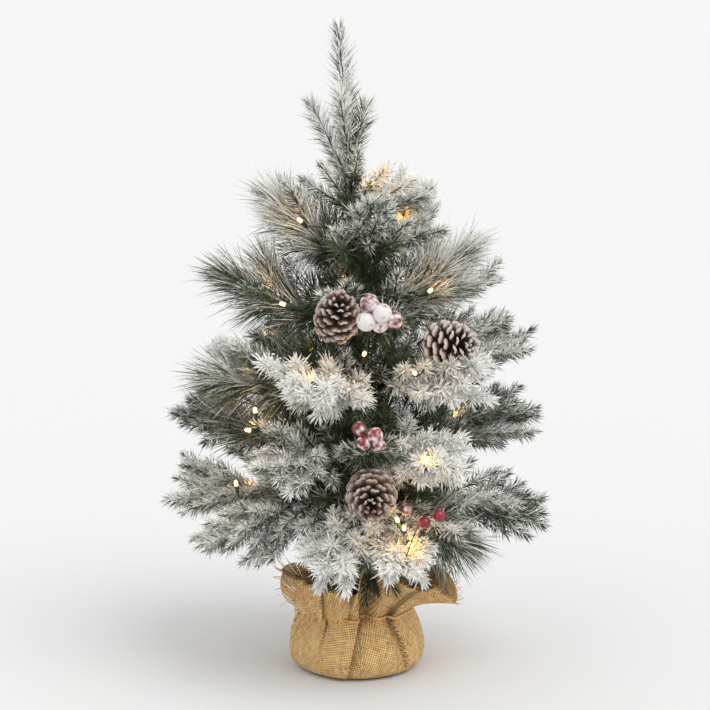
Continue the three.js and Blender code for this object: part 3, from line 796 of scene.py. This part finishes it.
def wrap_faces(count, around):
    """Outer and inner faces of the cloth, its rim at the cut edge, and the middle of its bottom."""
    index = np.arange(count * around).reshape(count, around)
    after = np.roll(index, -1, axis=1)
    shell = count * around
    outer = np.stack([index[:-1], after[:-1], after[1:], index[1:]], axis=-1).reshape(-1, 4)
    rim = np.stack([index[-1], after[-1], after[-1] + shell, index[-1] + shell], axis=-1)
    faces = np.vstack([outer, (outer + shell)[:, ::-1], rim]).tolist()
    for a, b in zip(index[0].tolist(), after[0].tolist()):
        faces += [(2 * shell, b, a), (2 * shell + 1, a + shell, b + shell)]
    return faces, len(outer)


def make_wrap():
    rows, weave, crease = wrap_rows()
    inner = rows - grid_normals(rows) * CLOTH_THICKNESS
    count, around = rows.shape[:2]
    shell = count * around
    centre = [[0, 0, BAG[0][1]], [0, 0, BAG[0][1] + CLOTH_THICKNESS]]
    points = np.vstack([rows.reshape(-1, 3), inner.reshape(-1, 3), centre]) * MM
    faces, per_side = wrap_faces(count, around)
    mesh = bpy.data.meshes.new("burlap_wrap_cloth")
    mesh.from_pydata(points.tolist(), [], faces)
    stored = np.zeros((len(points), 3), np.float32)
    stored[:2 * shell, :2] = np.tile(weave.reshape(-1, 2), (2, 1))
    # The third number is the amount of painted shade in the pleats' grooves.
    stored[:shell, 2] = crease.reshape(-1)
    mesh.attributes.new("weave", "FLOAT_VECTOR", "POINT").data.foreach_set("vector", stored.ravel())
    mesh.materials.append(burlap_material("burlap_cloth", see_through=False))
    mesh.materials.append(burlap_material("burlap_ruffle_cloth", see_through=True))
    ruffle_start = (BAG_ROWS + 3) * around
    slots = np.zeros(len(mesh.polygons), np.int32)
    slots[ruffle_start:per_side] = 1
    slots[per_side + ruffle_start:2 * per_side + around] = 1
    mesh.polygons.foreach_set("material_index", slots)
    mesh.polygons.foreach_set("use_smooth", np.ones(len(mesh.polygons), bool))
    mesh.update()
    wrap = finished(linked("burlap_wrap_cloth", mesh), "root", "burlap", "burlap_wrap")
    make_fringe(rows)


def make_fringe(rows):
    """Loose jute threads along the ruffle's cut edge, longest on its left."""
    rng = np.random.default_rng([SEED, 77])
    edge, before, normals = rows[-1], rows[-5], grid_normals(rows)[-1]
    share = np.linspace(0, 1, 6)[:, None]
    pile = Pile()
    position = 0.0
    while position < WRAP_SEGMENTS - 1:
        k = int(position)
        apart = math.hypot(edge[k][0], edge[k][1]) * 2 * math.pi / WRAP_SEGMENTS
        position += WEAVE_PITCH * rng.uniform(0.5, 1.1) / apart
        out = unit(edge[k] - before[k])
        around = unit(np.cross(normals[k], out))
        left = math.exp(-(turned_by(WRAP_AZIMUTH[k], 192) / 16) ** 2)
        length = rng.uniform(4, 7) + 2 * left
        slant = around * rng.normal(0.35 * math.sin(2 * WRAP_ANGLE[k]), 0.12)
        path = edge[k] - out * 3 + (out + slant) * (length + 3) * share
        path = path + (normals[k] * rng.normal(0, 1.0) + around * rng.normal(0, 0.9)) * share ** 2
        thick = rng.uniform(0.28, 0.48)
        tube(pile, path, np.linspace(thick, thick * 0.6, 6), 5, rng.random(), rng.random())
    return pile.build("burlap_fringe", JUTE_THREAD, "root", "burlap")


def make_neck_tie():
    """Two-strand jute twine drawn round the neck, under the ruffle."""
    angle = np.linspace(0, 2 * math.pi, 240, endpoint=False)
    azimuth = np.degrees(angle)
    radius = TIE_RADIUS - neck_hollow(azimuth) + pleat_depth(azimuth, np.zeros_like(azimuth))
    middle, spoke = around_axis(radius, angle, TIE_HEIGHT), around_axis(1.0, angle, 0.0)
    pile = Pile()
    for strand in (0, math.pi):
        turn = (angle * TIE_TWISTS + strand)[:, None]
        path = middle + TIE_STRAND_OFFSET * (np.cos(turn) * spoke + np.sin(turn) * UP)
        closed_tube(pile, path, TIE_STRAND_RADIUS, 6, 0.5 + 0.1 * strand)
    pile.build("neck_tie_twine", JUTE_THREAD, "root", "twine", "neck_tie")


JUTE_DARK = (0.43, 0.215, 0.064)
JUTE_MID = (0.86, 0.50, 0.178)
JUTE_LIGHT = (0.98, 0.76, 0.40)
# Painted shade: the dark brown of the holes between threads and of the low parts of the weave.
WEAVE_HOLE_SHADE = (0.12, 0.056, 0.018)
# Painted shade: the dark colour that the cloth is mixed towards in the pleats' grooves.
CREASE_PAINTED_SHADE = (0.060, 0.030, 0.010)


def burlap_material(name, see_through):
    """Plain weave: each thread's crown is high where it crosses over; the holes between threads and the low
    parts of the threads get painted shade, and on the see-through cloth the holes are also cut out.
    """
    look = Look(name, roughness=0.9)
    look.surface["Specular IOR Level"].default_value = 0.25
    look.surface["Sheen Weight"].default_value = 0.05
    along_u, along_v, crease = look.parts(look.stored("weave", "Vector"))
    u, v = (look.math("DIVIDE", along, WEAVE_PITCH) for along in (along_u, along_v))
    crown_u, crown_v = (
        look.math("SINE", look.math("MULTIPLY", look.math("FRACT", w), math.pi)) for w in (u, v))
    checker = look.math("ADD", look.math("FLOOR", u), look.math("FLOOR", v))
    over = look.math("COSINE", look.math("MULTIPLY", checker, math.pi))
    lift_u = look.scaled(look.math("MULTIPLY", over, crown_v), 0.38, 0.62)
    lift_v = look.scaled(look.math("MULTIPLY", over, crown_u), -0.38, 0.62)
    height = look.math(
        "MAXIMUM", look.math("MULTIPLY", crown_u, lift_u), look.math("MULTIPLY", crown_v, lift_v))
    streak = look.noise(700, 3, 0.7)
    thread = look.ramp(thread_tone(look, u, v), (0.34, JUTE_DARK), (0.5, JUTE_MID), (0.68, JUTE_LIGHT))
    fuzz = look.mix(look.math("MULTIPLY", streak, 0.5), thread, JUTE_LIGHT)
    # Painted shade: where the weave is low, in its holes and where a thread dips under, the colour turns
    # dark.
    cloth = look.mix(look.ramp(height, (0.26, grey(0)), (0.56, grey(1))), WEAVE_HOLE_SHADE, fuzz)
    # Painted shade: the cloth is darkened in the pleats' grooves by the stored crease amount.
    look.colour(look.mix(look.math("MULTIPLY", crease, 0.85), cloth, CREASE_PAINTED_SHADE))
    look.bump(look.scaled(streak, 0.25, height), 0.9, 0.0011)
    if see_through:
        look.feed(look.surface["Alpha"], look.math("GREATER_THAN", height, 0.34))
    return look.material


def thread_tone(look, u, v):
    """A tone that changes from thread to thread and slowly along each one."""
    tones = []
    for across_value, along_value in ((u, v), (v, u)):
        place = look.add("CombineXYZ", "Vector", X=look.math("FLOOR", across_value),
                         Y=look.math("MULTIPLY", along_value, 0.12))
        tones.append(look.add("TexNoise", "Fac", Vector=place, Scale=1.7, Detail=2))
    return look.math("MULTIPLY", look.math("ADD", *tones), 0.5)


def thread_material():
    look = Look("jute_thread", roughness=0.9)
    tone = look.scaled(look.noise(FINE_GRAIN), 0.6, look.math("MULTIPLY", look.stored("tone"), 0.4))
    look.colour(look.ramp(tone, (0.2, JUTE_DARK), (0.5, JUTE_MID), (0.85, JUTE_LIGHT)))
    look.bump(look.noise(1500, 2), 0.6, 0.0004)
    return look.material


JUTE_THREAD = thread_material()


# ---- pine cones ------------------------------------------------------------------------------
# Each cone: middle, the way its tip points, length, radius, frost, and where its wire is wound on,
# as (tier, branch, share), in millimetres, as in the CAD model.
CONES = {
    "pine_cone_front_upper": ((-17, -100, 353), (0.1, -0.75, 0.65), 42, 22, 0.60, (3, 2, 0.55)),
    "pine_cone_front_right": ((85, -80, 325), (0.75, -0.65, 0.1), 42, 22, 1.15, (2, 3, 0.82)),
    "pine_cone_front_lower": ((13, -128, 196), (0, -1, -0.15), 40, 24, 0.52, (1, 3, 0.7)),
    "pine_cone_back_lower": ((-14, 114, 263), (-0.2, 0.9, 0.3), 42, 22, 0.5, (1, 6, 0.55)),
    "pine_cone_back_left": ((-74, 92, 256), (-0.6, 0.8, -0.1), 42, 22, 0.7, (2, 5, 0.55)),
}
SCALES = 64
SCALE_STEPS = (0.0, 0.3, 0.6, 0.82, 0.95, 1.0)
SCALE_WIDTHS = (0.30, 0.52, 0.86, 1.0, 0.80, 0.40)
SCALE_THICKNESS = (0.8, 0.8, 1.0, 1.9, 2.2, 1.2)
SCALE_SIDES = 8
# How a cone changes from its foot (0) to its tip (1): its reach and its core as shares of its radius,
# the lean of its scales in degrees and how much further their tips turn, and their width in mm at a
# radius of SCALE_WIDTH_RADIUS.
CONE_REACH = ([0, 0.12, 0.3, 0.55, 0.8, 1], [0.74, 0.94, 1, 0.88, 0.56, 0.16])
CONE_CORE = ([0, 1], [0.22, 0.05])
SCALE_LEAN = ([0, 0.3, 0.7, 1], [92, 66, 40, 10])
SCALE_TIP_TURN = ([0, 0.5, 1], [28, 26, 8])
SCALE_WIDTH = ([0, 0.15, 0.4, 0.75, 1], [8.0, 10.8, 11.8, 8.2, 3.5])
SCALE_WIDTH_RADIUS = 22
# The spine inside: places as shares of the length from the middle, and radii as shares of the radius.
CONE_SPINE = ([-0.47, -0.3, 0.1, 0.36], [0.16, 0.32, 0.24, 0.06])
CONE_WIRE = 0.55


def cone_scales(centre, axis, length, radius, rng):
    """For all scales: root, length, the ways the root and the tip point, side and width."""
    first, second = (v[0] for v in across(axis))
    order = (np.arange(SCALES) + 0.5) / SCALES
    rise = order ** 0.92
    turn = np.arange(SCALES) * GOLDEN_ANGLE
    radial = np.cos(turn)[:, None] * first + np.sin(turn)[:, None] * second
    reach = radius * np.interp(order, *CONE_REACH)
    core = radius * np.interp(order, *CONE_CORE)
    lean_root = np.radians(np.interp(order, *SCALE_LEAN) + rng.normal(0, 4, SCALES))
    lean_tip = lean_root + np.radians(np.interp(order, *SCALE_TIP_TURN))
    middle = (lean_root + lean_tip) / 2
    long = np.clip((reach - core) / np.maximum(np.sin(middle), 0.3), 4, radius * 0.86)
    root_way = np.cos(lean_root)[:, None] * axis + np.sin(lean_root)[:, None] * radial
    tip_way = np.cos(lean_tip)[:, None] * axis + np.sin(lean_tip)[:, None] * radial
    foot = centre + axis * (length * (rise * 0.80 - 0.44))[:, None] + radial * core[:, None]
    width = np.interp(order, *SCALE_WIDTH) * radius / SCALE_WIDTH_RADIUS
    return foot, long[:, None], root_way, tip_way, unit(np.cross(axis, radial)), width


def grow_cone(pile, centre, points_to, length, radius, frost, rng):
    """The scales of a cone, set in a golden spiral, and the spine inside them."""
    centre, axis = np.asarray(centre), unit(points_to)
    foot, long, root_way, tip_way, side, width = cone_scales(centre, axis, length, radius, rng)
    columns, snow, tone = [], [], []
    shade = rng.random(SCALES)

    def middle_line(share):
        return foot + long * (root_way * share + (tip_way - root_way) * share ** 2 / 2)

    for share, wide, thick in zip(SCALE_STEPS, SCALE_WIDTHS, SCALE_THICKNESS):
        normal = np.cross(side, unit(root_way + (tip_way - root_way) * share))
        bow = -1.6 * share
        for angle in np.arange(SCALE_SIDES) * 2 * math.pi / SCALE_SIDES:
            half = math.cos(angle)
            columns.append(middle_line(share) + side * (width * wide / 2 * half)[:, None]
                           - normal * (thick / 2 * math.sin(angle) + bow * half ** 2))
            snow.append(np.clip(frost * (share * 2.6 - 1.75) + 0.22 * (half ** 2) * share * frost
                                + rng.normal(0, 0.05, SCALES), 0, 1))
            tone.append(np.clip(0.70 * share ** 1.5 + 0.24 * shade, 0, 1))
    for share in (0, 1):
        columns.append(middle_line(share))
        snow.append(np.full(SCALES, frost * share * 0.85))
        tone.append(np.clip(0.70 * share + 0.24 * shade, 0, 1))
    points, snow, tone = (np.stack(values, axis=1) for values in (columns, snow, tone))
    pile.add_many(points, ring_faces(len(SCALE_STEPS), SCALE_SIDES), snow, tone)
    run = np.linspace(CONE_SPINE[0][0], CONE_SPINE[0][-1], 8)
    spine = centre + axis * (run * length)[:, None]
    tube(pile, spine, radius * np.interp(run, *CONE_SPINE), 10, 0.0, 0.1)


def cone_material():
    look = Look("cone_wood", roughness=0.72)
    grain = look.noise(620, 4, 0.65)
    tone = look.math("ADD", look.stored("tone"), look.scaled(grain, 0.4, -0.2))
    wood = look.ramp(
        tone, (0.12, (0.010, 0.005, 0.003)), (0.45, (0.060, 0.029, 0.016)), (0.70, (0.150, 0.080, 0.046)),
        (0.95, (0.30, 0.185, 0.118)))
    frost = look.math("ADD", look.stored("snow"), look.scaled(look.noise(240), 0.9, -0.45))
    look.colour(look.mix(look.ramp(frost, (0.24, grey(0)), (0.62, grey(0.85))), wood, (0.62, 0.58, 0.55)))
    look.bump(grain, 0.7, 0.0006)
    return look.material


def wire_path(start, tier, number, share):
    """From a cone or pick back to the branch that its wire is wound on, then twice round it."""
    _, height, plans = TIERS[tier]
    plan = plans[number - 1]
    end = stem_place(plan, height, share)
    out, side, up = branch_frame(plan[0], plan[1])
    start = np.asarray(start, float)
    path = [start + (end - start) * part + np.array([0, 0, 3.0]) * math.sin(math.pi * part)
            for part in np.linspace(0, 0.94, 8)]
    for turn in np.linspace(0, 4 * math.pi, 18):
        path.append(end + out * (turn * 0.35) + (side * math.cos(turn) + up * math.sin(turn)) * 2.2)
    return np.array(path)


def carrier(on):
    """The body of the branch that carries a cone or a pick."""
    tier, number, _ = on
    return f"{TIERS[tier][0]}_branch_{number}_body"


def make_cones():
    material = cone_material()
    for index, (node, (centre, points_to, length, radius, frost, on)) in enumerate(CONES.items()):
        scales, wire = Pile(), Pile()
        rng = np.random.default_rng([SEED, 900 + index])
        grow_cone(scales, centre, points_to, length, radius, frost, rng)
        back = np.asarray(centre) - unit(points_to) * length * 0.4
        tube(wire, wire_path(back, *on), CONE_WIRE, 6, 0.0, 0.3)
        scales.build(f"{node}_scales", material, carrier(on), "cone_wood", node)
        wire.build(f"{node}_wire", STEM, carrier(on), "brown_steel")


# ---- berry picks -----------------------------------------------------------------------------
# Berries as (offset from the pick's middle, radius, how frosted), as in the CAD model.
LARGE_PICK = [
    ((-7, 1, 11), 8.5, 0.50), ((4, -2, 3), 8.5, 0.92), ((-10, -1, -4.5), 8.5, 0.98), ((2, 4, -7), 8, 0.85),
    ((14, 1, -3.5), 8, 0.52)]
SMALL_PICK = [
    ((-8, 1, 7), 6.5, 0.26), ((-4, -1, -5), 6.5, 0.36), ((6, -2, 2), 7, 0.52), ((8.5, 1, -7.5), 6.5, 0.42)]
LOOSE_PICK = [((-15, 0, 6), 5.5, 0.30), ((1, -2, -6), 5.5, 0.0), ((14, 0, 0), 5.5, 0.05)]
PICKS = {
    "berry_pick_front_upper": ((18, -129, 357), LARGE_PICK, (3, 2, 0.9)),
    "berry_pick_front_middle": ((10, -134, 251), SMALL_PICK, (1, 3, 0.9)),
    "berry_pick_front_lower": ((59, -126, 178), LOOSE_PICK, (0, 4, 0.9)),
    "berry_pick_back": ((30, 100, 341), SMALL_PICK, (3, 4, 0.8)),
}
SUGAR = 0.22                       # how far the sugar frosting stands out, in mm
PICK_WIRE = 0.6


def round_mesh(subdivisions):
    shape = bmesh.new()
    bmesh.ops.create_icosphere(shape, subdivisions=subdivisions, radius=1)
    points = np.array([v.co[:] for v in shape.verts])
    faces = np.array([[v.index for v in f.verts] for f in shape.faces])
    shape.free()
    return points, faces


def grow_berry(pile, sphere, centre, radius, frost, toward, tone):
    points, faces = sphere
    places = np.asarray(centre) + points * radius
    coarse = np.array([noise.noise(Vector(p * 0.27)) for p in places])
    fine = np.array([noise.noise(Vector(p * 1.3)) for p in places])
    cover = np.clip(0.5 + (frost - 0.5) * 1.5 + 1.1 * coarse * (frost > 0.1), 0, 1) * (frost > 0.01)
    swell = 1 + (SUGAR * fine * cover + 0.10 * coarse) / radius
    nub = np.clip((points @ unit(toward) - 0.93) / 0.07, 0, 1)
    swell = swell - 0.10 * nub
    pile.add(np.asarray(centre) + points * (radius * swell)[:, None], faces, cover, tone)


def berry_material():
    look = Look("berry", roughness=0.4)
    look.surface["Coat Weight"].default_value = 0.25
    look.surface["Coat Roughness"].default_value = 0.12
    grain = look.noise(FINE_GRAIN, 4, 0.7)
    snow = look.math("ADD", look.stored("snow"), look.scaled(grain, 1.0, -0.5))
    red = look.ramp(look.stored("tone"), (0, (0.16, 0.004, 0.010)), (1, (0.28, 0.008, 0.018)))
    cover = look.ramp(snow, (0.10, grey(0)), (0.5, grey(0.34)), (0.9, grey(0.97)))
    look.colour(look.mix(cover, red, (0.88, 0.84, 0.83)))
    look.rough(look.scaled(snow, 0.55, 0.28))
    look.bump(look.math("MULTIPLY", grain, look.stored("snow")), 1.0, 0.0012)
    return look.material


def make_berry_picks():
    material = berry_material()
    sphere = round_mesh(4)
    for node, (centre, berries, on) in PICKS.items():
        centre = np.array(centre, float)
        skins, stems = Pile(), Pile()
        for index, (offset, radius, frost) in enumerate(berries):
            place = centre + offset
            away = unit(np.asarray(offset, float) + np.array([0, -2.0 if centre[1] < 0 else 2.0, 0]))
            grow_berry(skins, sphere, place, radius, frost, away, (index * 0.37) % 1)
            path = [centre * (1 - t) + place * t for t in np.linspace(0, 0.9, 5)]
            tube(stems, path, PICK_WIRE, 6, 0.0, 0.2)
        tube(stems, wire_path(centre, *on), PICK_WIRE, 6, 0.0, 0.3)
        skins.build(f"{node}_berries", material, carrier(on), "berry", node)
        stems.build(f"{node}_stems", STEM, carrier(on), "brown_steel")


# ---- lamps -----------------------------------------------------------------------------------
# Lamps on the front of the tree, in millimetres. Each rides on the branch nearest to it.
FRONT_LAMPS = [
    (-66.7, -74, 359.8), (66.6, -62, 370.4), (-40.3, -116, 299), (6.4, -116, 321.4), (50.7, -108, 303.2),
    (-91.9, -76, 263.2), (-98.5, -84, 246.4), (-109.5, -82, 197), (61.4, -114, 225.6), (35.7, -124, 174.2),
    (41.8, -126, 167), (48.4, -112, 147)]
LEADER_LAMPS = [(13.8, -40, 466.3), (-52, -44, 432)]
BACK_SHARES = (0.5, 0.85)          # where the lamps stand on the branches behind the pole
SIDE_SHARES = (0.55,)
BULB_RADIUS = 1.9
BULB_LENGTH = 5.6
HOLDER_RADIUS = 2.1
HOLDER_LENGTH = 7
WIRE_RADIUS = 0.55
WIRE_LAY = 2.4                     # how far from the middle of a stem the wires are wound
WIRE_TURNS = 30                    # radians over the whole of a branch
WIRED_SHARE = 0.6                  # how far along a branch the pair of wires goes
LAMP_WIRE = (0.012, 0.040, 0.018)
GLOW_WATTS = 0.013
GLOW_COLOUR = (1.0, 0.48, 0.05)


def lamp_material():
    look = Look("lamp", (1.0, 0.86, 0.62), roughness=0.25)
    warm = look.ramp(look.noise(400, 1), (0.3, (1.0, 0.56, 0.18)), (0.7, (1.0, 0.68, 0.30)))
    look.feed(look.surface["Emission Color"], warm)
    look.surface["Emission Strength"].default_value = 1.7
    return look.material


def plastic_material(name, base, grain=FINE_GRAIN, roughness=0.42):
    look = Look(name, base, roughness)
    fine = look.noise(grain)
    look.colour(look.mix(fine, tuple(c * 0.75 for c in base), tuple(min(1, c * 1.25) for c in base)))
    look.rough(look.scaled(look.noise(grain / 6, 2), 0.25, roughness - 0.12))
    look.bump(fine, 0.5, 0.00008)
    return look.material


def nearest_twig(twigs, place):
    """The twig nearest to a place, how far along it that is, and the distance."""
    shares = np.linspace(0.1, 0.95, 12)
    best = None
    for twig in twigs:
        off = np.linalg.norm(twig.at(shares) - place, axis=1)
        k = int(off.argmin())
        if best is None or off[k] < best[2]:
            best = (twig, shares[k], off[k])
    return best


def lamp_plan():
    """Every branch's lamps, as {(tier, number): (height, plan, [(twig, share, place), ...])}."""
    forest = {(tier, number): (height, plan, branch_growth(tier, number, height, plan)[0])
              for tier, height, plans in TIERS for number, plan in enumerate(plans, 1)}
    lamps = {key: [] for key in forest}
    for place in FRONT_LAMPS:
        found = {key: nearest_twig(twigs, np.array(place)) for key, (_, _, twigs) in forest.items()}
        key = min(found, key=lambda k: found[k][2])
        lamps[key].append((*found[key][:2], np.array(place)))
    rng = np.random.default_rng([SEED, 35])
    for key, (height, plan, twigs) in forest.items():
        back = 20 < plan[0] < 160
        front = 200 < plan[0] < 340
        for share in (BACK_SHARES if back else () if front else SIDE_SHARES):
            _, side, up = branch_frame(plan[0], plan[1])
            off = side * rng.choice([-1, 1]) * rng.uniform(8, 14) + up * rng.uniform(6, 12)
            place = stem_place(plan, height, share) + off
            twig, along, _ = nearest_twig(twigs, place)
            lamps[key].append((twig, along, place))
    return {key: (*forest[key][:2], lamps[key]) for key in forest if lamps[key]}


def grow_lamp(bulbs, holders, root, place):
    """A bulb in its holder, standing away from the stem that its wire leaves."""
    way = unit(place - root)
    way = unit(way + np.array([0, 0, 0.5]))
    bottom = place - way * (BULB_LENGTH / 2)
    rise = np.array([-0.2, 0.0, 0.55, 0.8, 0.94, 1.0]) * BULB_LENGTH
    girth = np.array([0.8, 0.95, 1.0, 0.82, 0.5, 0.14]) * BULB_RADIUS
    tube(bulbs, bottom + way * rise[:, None], girth, 12, 0.0, 0.5)
    down = np.array([0.0, 0.15, 0.85, 1.0, 1.25]) * HOLDER_LENGTH
    body = np.array([0.86, 1.0, 0.9, 0.7, 0.4]) * HOLDER_RADIUS
    tube(holders, bottom - way * down[:, None], body, 12, 0.0, 0.3)
    return bottom - way * HOLDER_LENGTH * 1.1


def glow(piece, name, place):
    data = bpy.data.lights.new(name, "POINT")
    data.energy = GLOW_WATTS
    data.color = GLOW_COLOUR
    data.shadow_soft_size = BULB_RADIUS * MM
    light = linked(name, data)
    light.location = Vector(place) * MM
    light.visible_camera = False
    light.parent = piece


def branch_wires(wires, height, plan):
    """The pair of wires along a branch, wound round its stem."""
    _, side, up = branch_frame(plan[0], plan[1])
    for strand in (0, math.pi):
        path = []
        for share in np.linspace(0.02, WIRED_SHARE, 60):
            turn = share * WIRE_TURNS + strand
            round_stem = WIRE_LAY * (side * math.cos(turn) + up * math.sin(turn))
            path.append(stem_place(plan, height, share) + round_stem)
        tube(wires, path, WIRE_RADIUS, 6, 0.0, 0.2)


def lamp_tail(wires, twig, share, foot):
    """The wires along a twig, and the short loop from it to a lamp's holder."""
    beside = np.array([0, 0, -1.4])
    path = [twig.at(part) + beside for part in np.linspace(0, share, 8)]
    root = path[-1]
    middle = (root + foot) / 2 + np.array([0, 0, -3.0])
    path += [root * (1 - t) ** 2 + 2 * middle * t * (1 - t) + foot * t ** 2 for t in np.linspace(0.2, 1, 6)]
    tube(wires, path, WIRE_RADIUS * 1.3, 6, 0.0, 0.2)


def hang_lamps(name, body, bulbs, wires, places, finishes):
    """The bulbs of a branch with the glow of each, and their wires."""
    bulb_finish, wire_finish = finishes
    piece = bulbs.build(f"{name}_lamps", bulb_finish, body, "lamp")
    piece.visible_shadow = False
    for index, place in enumerate(places, 1):
        glow(piece, f"{name}_glow_{index}", place)
    wires.build(f"{name}_lamp_wire", wire_finish, body, "green_wire")


def make_lamps():
    finishes = lamp_material(), plastic_material("lamp_wire", LAMP_WIRE, roughness=0.45)
    for (tier, number), (height, plan, lamps) in lamp_plan().items():
        name = f"{tier}_branch_{number}"
        bulbs, wires = Pile(), Pile()
        branch_wires(wires, height, plan)
        for twig, share, place in lamps:
            foot = grow_lamp(bulbs, wires, twig.at(share), place)
            lamp_tail(wires, twig, share, foot)
        hang_lamps(name, f"{name}_body", bulbs, wires, [place for _, _, place in lamps], finishes)
    bulbs, wires = Pile(), Pile()
    for place in np.array(LEADER_LAMPS, float):
        root = UP * (place[2] - 14)
        foot = grow_lamp(bulbs, wires, root, place)
        tube(wires, [root * (1 - t) + foot * t for t in np.linspace(0, 1, 5)], WIRE_RADIUS, 6, 0.0, 0.2)
    hang_lamps("leader", "root", bulbs, wires, LEADER_LAMPS, finishes)


# ---- finishes of the CAD nodes ---------------------------------------------------------------
def felt_material():
    look = Look("felt", roughness=0.95)
    look.surface["Sheen Weight"].default_value = 0.3
    fibres = look.noise(1400, 4, 0.7)
    look.colour(look.mix(fibres, (0.012, 0.030, 0.016), (0.040, 0.075, 0.042)))
    look.bump(fibres, 0.8, 0.0006)
    return look.material


def cement_material():
    look = Look("cement", roughness=0.9)
    pores = look.noise(300, 6, 0.7)
    base = look.mix(look.noise(45, 2), (0.30, 0.29, 0.27), (0.46, 0.45, 0.42))
    speckle = look.ramp(pores, (0.36, (0.16, 0.155, 0.145)), (0.46, grey(1)))
    look.colour(look.mix(0.8, base, speckle, "MULTIPLY"))
    look.bump(pores, 0.7, 0.0012)
    return look.material


def steel_material(name, base, roughness, metallic=1.0):
    look = Look(name, base, roughness, metallic)
    marks = look.noise(240, 5, 0.65)
    look.colour(look.mix(marks, tuple(c * 0.72 for c in base), base))
    look.rough(look.scaled(marks, 0.3, roughness - 0.15))
    look.bump(look.noise(1200, 2), 0.3, 0.00006)
    return look.material


def tape_material():
    """Crinkled florist's tape wound round the pole."""
    look = Look("green_tape", roughness=0.7)
    bands = look.add("TexWave", "Fac", Vector=look.place(), Scale=60, Distortion=3)
    bands.node.bands_direction = "Z"
    look.colour(look.mix(bands, (0.010, 0.030, 0.012), (0.028, 0.066, 0.026)))
    look.bump(bands, 0.6, 0.0006)
    return look.material


def cell_material():
    """A plain foil jacket: dark along its length with a copper band at one end."""
    look = Look("cell_foil", roughness=0.35, metallic=0.6)
    band = look.math("GREATER_THAN", look.parts(look.place())[0], 0.009)
    jacket = look.mix(look.noise(300, 2), (0.030, 0.030, 0.034), (0.060, 0.060, 0.066))
    look.colour(look.mix(band, jacket, (0.52, 0.26, 0.12)))
    return look.material


def finish_cad_nodes():
    tape = tape_material()
    case = plastic_material("case_plastic", (0.016, 0.045, 0.024), roughness=0.5)
    contact = steel_material("contact_steel", (0.62, 0.60, 0.56), 0.3)
    foil = cell_material()
    finishes = {
        "foot_pad": felt_material(), "base_weight": cement_material(),
        "base_socket": plastic_material("socket_plastic", (0.018, 0.050, 0.026), roughness=0.5),
        "trunk_pole": steel_material("painted_pole", (0.045, 0.038, 0.022), 0.55, 0.2),
        "battery_case": case, "battery_cover": case, "pole_clip": case,
        "contact_plate_left": contact, "contact_plate_right": contact,
        "circuit_board": plastic_material("board", (0.020, 0.110, 0.050), 260, roughness=0.4),
        "switch_slider": plastic_material("switch_plastic", (0.022, 0.022, 0.024), roughness=0.45),
        "light_lead": plastic_material("lead_insulation", LAMP_WIRE, roughness=0.45)}
    for tier, _, _ in TIERS:
        finishes[f"{tier}_tier_binding"] = tape
    for number in (1, 2, 3):
        finishes[f"battery_cell_{number}"] = foil
    for node, material in finishes.items():
        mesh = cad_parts[node].data
        mesh.materials.clear()
        mesh.materials.append(material)


# ---- studio ----------------------------------------------------------------------------------
VIEW_DISTANCE = 1.8
VIEW_ELEVATION = 10
VIEW_TARGET = (-0.0016, 0, 0.3002)
LENS = 97.2
SENSOR = 36
WORLD_STRENGTH = 0.93
FLOOR_PAPER = (0.714, 0.714, 0.714)
FLOOR_SIDE = 150                   # so wide that its edge is lost in the distance
FLOOR_DROP = 0.0005                # how far the floor lies below the foot
SUN_DISTANCE = 3
# Each sun: azimuth, elevation, power, and how wide it is in degrees.
SUNS = {"key": (318, 54, 1.25, 44), "fill": (222, 40, 0.2, 40)}


def aim(thing, place, target):
    thing.location = place
    thing.rotation_euler = (Vector(target) - Vector(place)).to_track_quat("-Z", "Y").to_euler()


def make_camera():
    data = bpy.data.cameras.new("camera")
    data.lens = LENS
    data.sensor_width = SENSOR
    camera = linked("camera", data)
    elevation = math.radians(VIEW_ELEVATION)
    place = Vector(VIEW_TARGET) + VIEW_DISTANCE * Vector((0, -math.cos(elevation), math.sin(elevation)))
    aim(camera, place, VIEW_TARGET)
    bpy.context.scene.camera = camera


def soft_sun(name, azimuth, elevation, power, spread):
    """A broad, even light; azimuth is where it stands, seen from above."""
    data = bpy.data.lights.new(name, "SUN")
    data.energy = power
    data.angle = math.radians(spread)
    a, e = math.radians(azimuth), math.radians(elevation)
    way = (math.cos(e) * math.cos(a), math.cos(e) * math.sin(a), math.sin(e))
    aim(linked(name, data), [SUN_DISTANCE * part for part in way], (0, 0, 0))


def make_studio():
    world = bpy.data.worlds.new("studio")
    world.use_nodes = True
    background = world.node_tree.nodes["Background"].inputs
    background["Color"].default_value = (1, 1, 1, 1)
    background["Strength"].default_value = WORLD_STRENGTH
    bpy.context.scene.world = world
    for name, sun in SUNS.items():
        soft_sun(name, *sun)
    bpy.ops.mesh.primitive_plane_add(size=FLOOR_SIDE, location=(0, 0, -FLOOR_DROP))
    floor = bpy.context.object
    floor.name = "floor"
    look = Look("floor_paper", FLOOR_PAPER, 0.95)
    look.surface["Specular IOR Level"].default_value = 0.0
    floor.data.materials.append(look.material)
    bpy.context.scene.view_settings.view_transform = "Standard"


# ---- the scene -------------------------------------------------------------------------------
make_camera()
make_studio()
make_foliage()
make_trunk_garland()
make_leader()
make_cones()
make_berry_picks()
make_lamps()
make_wrap()
make_neck_tie()
finish_cad_nodes()
